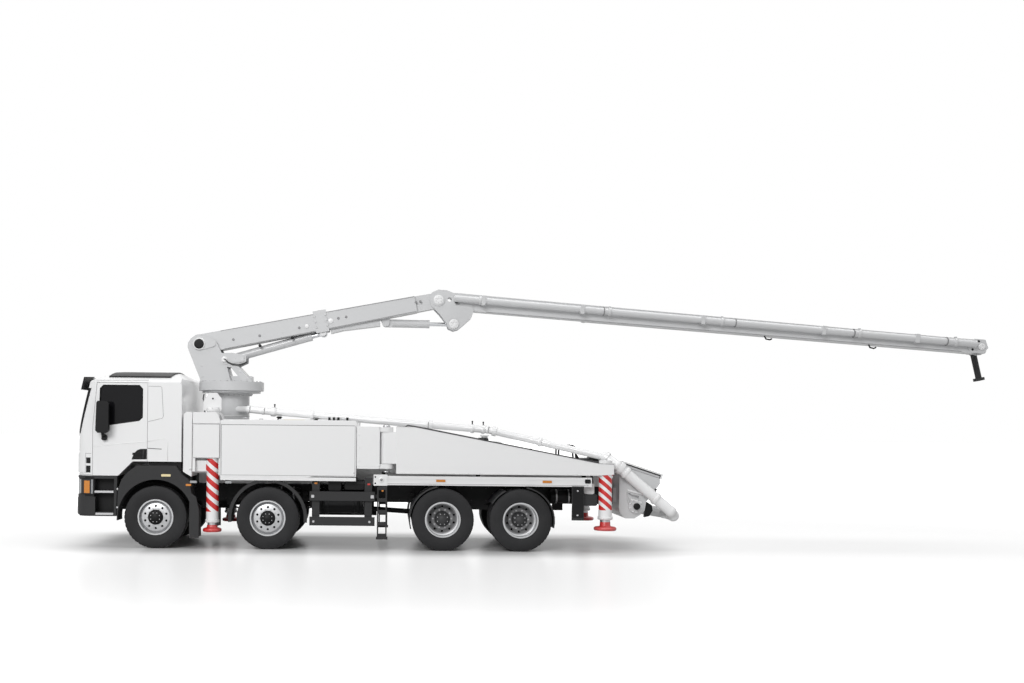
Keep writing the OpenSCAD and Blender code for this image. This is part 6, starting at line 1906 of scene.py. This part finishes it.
        # Flat black discs painted as the shade in the holes near the tip
        for dx, dz in ((-0.16, 0.05), (-0.16, -0.05), (-0.05, 0.10)):
            self._hole_shade(solid, (tip[0] + dx, tip[1] + dz), -0.1322, 0.022, 20)
        solid.done("arm_2", bevel=0.001)

    def build(self) -> None:
        """Makes every piece of the boom."""
        self._turret()
        self._column()
        self._arm_1()
        self._arm_2()


@dataclass(frozen=True)
class Pump:
    """Clamps, levers, rails and covers of the pump line and the hopper."""

    places: Places
    line: tuple[Point, ...] = (
        (1.50, -0.47, 2.430), (1.76, -0.47, 2.405), (4.70, -0.47, 2.180), (5.79, -0.47, 2.105),
        (7.85, -0.80, 1.640), (8.04, -0.885, 1.500), (8.99, -0.885, 0.700),
    )
    small: float = 0.0625
    large: float = 0.095

    def _clamp(self, solid: Solid, number: int, share: float, radius: float, lever: bool) -> None:
        """Adds one coupling with its lever.

        Args:
            solid: Where it goes.
            number: Which run of the line it is on.
            share: Its place along that run.
            radius: The pipe's radius.
            lever: Whether a dark lever stands on it.
        """
        start, end = Vector(self.line[number]), Vector(self.line[number + 1])
        at = start.lerp(end, share)
        outer = radius + 0.018
        profile = [(radius - 0.004, -0.034), (radius + 0.014, -0.030), (outer, -0.016),
                   (outer, 0.016), (radius + 0.014, 0.030), (radius - 0.004, 0.034)]
        solid.revolve(profile, tuple(at), tuple((end - start).normalized()), Finish.WHITE, 40, closed=True)
        if lever:
            foot = at + Vector((0.0, 0.0, radius + 0.01))
            top, half = foot + Vector((0.0, 0.0, 0.055)), Vector((0.0, 0.045, 0.0))
            solid.rod(tuple(foot), tuple(top), 0.011, Finish.BLACK, 10)
            solid.rod(tuple(top - half), tuple(top + half), 0.013, Finish.BLACK, 10)

    def _pipe(self) -> None:
        """Adds the couplings and supports of the pipe along the deck."""
        solid = self.places.solid("pipe_clamps")
        rows = ((1, 0.07, self.small, True), (1, 0.30, self.small, False), (2, 0.75, self.small, True),
                (2, 0.93, self.small, True), (3, 0.45, self.small, False), (5, 0.16, self.large, False),
                (5, 0.72, self.large, True))
        for row in rows:
            self._clamp(solid, *row)
        for x, z in ((2.05, 2.31), (2.72, 2.27), (3.30, 2.22)):
            solid.block((x - 0.03, -0.52, 1.975), (x + 0.03, -0.42, z), Finish.DARK, 0.006)
            solid.block((x - 0.045, -0.54, z - 0.03), (x + 0.045, -0.40, z - 0.005), Finish.BLACK, 0.006)
        solid.done("carrier", slot="white_paint", bevel=0.002)

    def _controls(self) -> None:
        """Adds the control boxes, the rail and the levers on the deck."""
        solid = self.places.solid("deck_controls")
        solid.block((5.62, -0.60, 1.73), (5.80, -0.34, 1.96), Finish.DARK, 0.02)
        solid.block((5.83, -0.58, 1.73), (6.05, -0.30, 1.90), Finish.WHITE, 0.03)
        rail = ((7.05, 1.63), (7.05, 1.80), (7.08, 1.83), (7.30, 1.84), (7.34, 1.80), (7.36, 1.62))
        for y in (-0.62, -0.30):
            solid.wire(rail, y, 0.016, Finish.BLACK, 10)
        for i, y in enumerate((-0.60, -0.52, -0.44, -0.36)):
            joint = (7.30 + 0.03 * i, y, 1.79)
            solid.rod((7.42, y, 1.60), joint, 0.010, Finish.BLACK, 8)
            solid.rod(joint, (7.28 + 0.03 * i, y, 1.83), 0.017, Finish.BLACK, 12)
        solid.block((7.34, -0.64, 1.55), (7.66, -0.30, 1.61), Finish.DARK, 0.01)
        solid.block((7.60, -0.60, 1.56), (7.80, -0.34, 1.64), Finish.BLACK, 0.02)
        solid.done("carrier", bevel=0.002)

    def _hopper(self) -> None:
        """Adds the hopper's ribs, agitator motor, seals and bolts."""
        solid = self.places.solid("hopper_fittings")
        face, middle = -0.760, (8.40, 0.78)
        pipe = [(8.24, face, 1.03), (8.27, face - 0.02, 0.86), (8.33, face - 0.02, 0.72), (8.44, face, 0.66)]
        solid.tube(pipe, 0.012, Finish.PIPE, 8)
        upper = ((8.25, 1.08), (8.58, 0.99), (8.57, 0.965), (8.26, 1.045))
        lower = ((8.30, 0.92), (8.50, 0.86), (8.50, 0.835), (8.31, 0.885))
        for rib, proud in ((upper, 0.020), (lower, 0.045)):
            solid.side(rib, face - proud, face + 0.01, Finish.WHITE)
        grip = [(8.28, face, 1.00), (8.30, face - 0.05, 0.99), (8.42, face - 0.05, 0.955), (8.45, face, 0.95)]
        solid.tube(grip, 0.010, Finish.STEEL, 8)
        motor = ((0.0, 0.0), (0.058, 0.0), (0.060, 0.02), (0.040, 0.026), (0.0, 0.028))
        solid.revolve(motor, (middle[0], -0.849, middle[1]), LEFT, Finish.BLACK, 32)
        solid.bolts(circle(middle, 0.105, 8), -0.7995, 0.022, 0.010, Finish.STEEL)
        flap = ((8.60, 0.86), (8.70, 0.80), (8.72, 0.70), (8.66, 0.60), (8.575, 0.58))
        solid.side(flap, -0.70, -0.60, Finish.BLACK)
        solid.done("carrier", slot="white_paint", bevel=0.002, mirrored=True)

    def build(self) -> None:
        """Makes every piece of the pump line and the hopper."""
        self._pipe()
        self._controls()
        self._hopper()


@dataclass(frozen=True)
class Undercarriage:
    """Bolts, lines and air tanks on the chassis."""

    places: Places
    rail_face: float = 0.430
    air_tank: Flat = (-0.565, 0.93)
    fuel_tank: Flat = (-0.79, 0.83)

    def build(self) -> None:
        """Makes the chassis fittings."""
        solid = self.places.solid("chassis_fittings")
        bolts = Repeat("rail_bolts", Shape.BOLT, 30, (0.024, 0.024, 0.012), step=(0.26, 0.0, 0.0))
        row = bolts.mesh(Finish.DARK)
        turn = Matrix.Rotation(math.pi / 2, 4, "X")
        for z in (0.83, 1.05):
            solid.take(row, Finish.DARK, Matrix.Translation((-0.2, -self.rail_face - 0.004, z)) @ turn)
        tank = ((0.0, 0.0), (0.09, 0.0), (0.12, 0.03), (0.12, 0.43), (0.09, 0.46), (0.0, 0.46))
        for x in (2.0, 6.9):
            solid.revolve(tank, (x, *self.air_tank), BACK, Finish.CHASSIS, 32)
            for step in (0.10, 0.32):
                solid.hoop((0.119, 0.125), (0.0, 0.03), (x + step, *self.air_tank), BACK, Finish.STEEL)
        for x in (2.86, 3.48):
            solid.hoop((0.221, 0.226), (0.0, 0.045), (x, *self.fuel_tank), BACK, Finish.BLACK, 48)
        solid.rod((3.17, -0.79, 1.04), (3.17, -0.79, 1.075), 0.05, Finish.BLACK, 24, 0.006)
        for z, y in ((1.075, -0.40), (1.095, -0.37)):
            solid.wire(((-0.6, z - 0.04), (1.0, z), (4.0, z), (7.4, z - 0.02)), y, 0.010, Finish.HOSE)
        solid.done("carrier", slot="chassis_black", mirrored=True)


def main() -> None:
    """Loads the frame, dresses it and builds every sub-assembly."""
    logging.basicConfig(level=logging.INFO, format="%(name)s: %(message)s")
    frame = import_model()
    places = Places.read()
    Studio(places).build()
    Skins(places).build(frame)
    for part in (Wheels, Cab, Bodywork, Outriggers, Boom, Pump, Undercarriage):
        part(places).build()


if __name__ == "__main__":
    main()
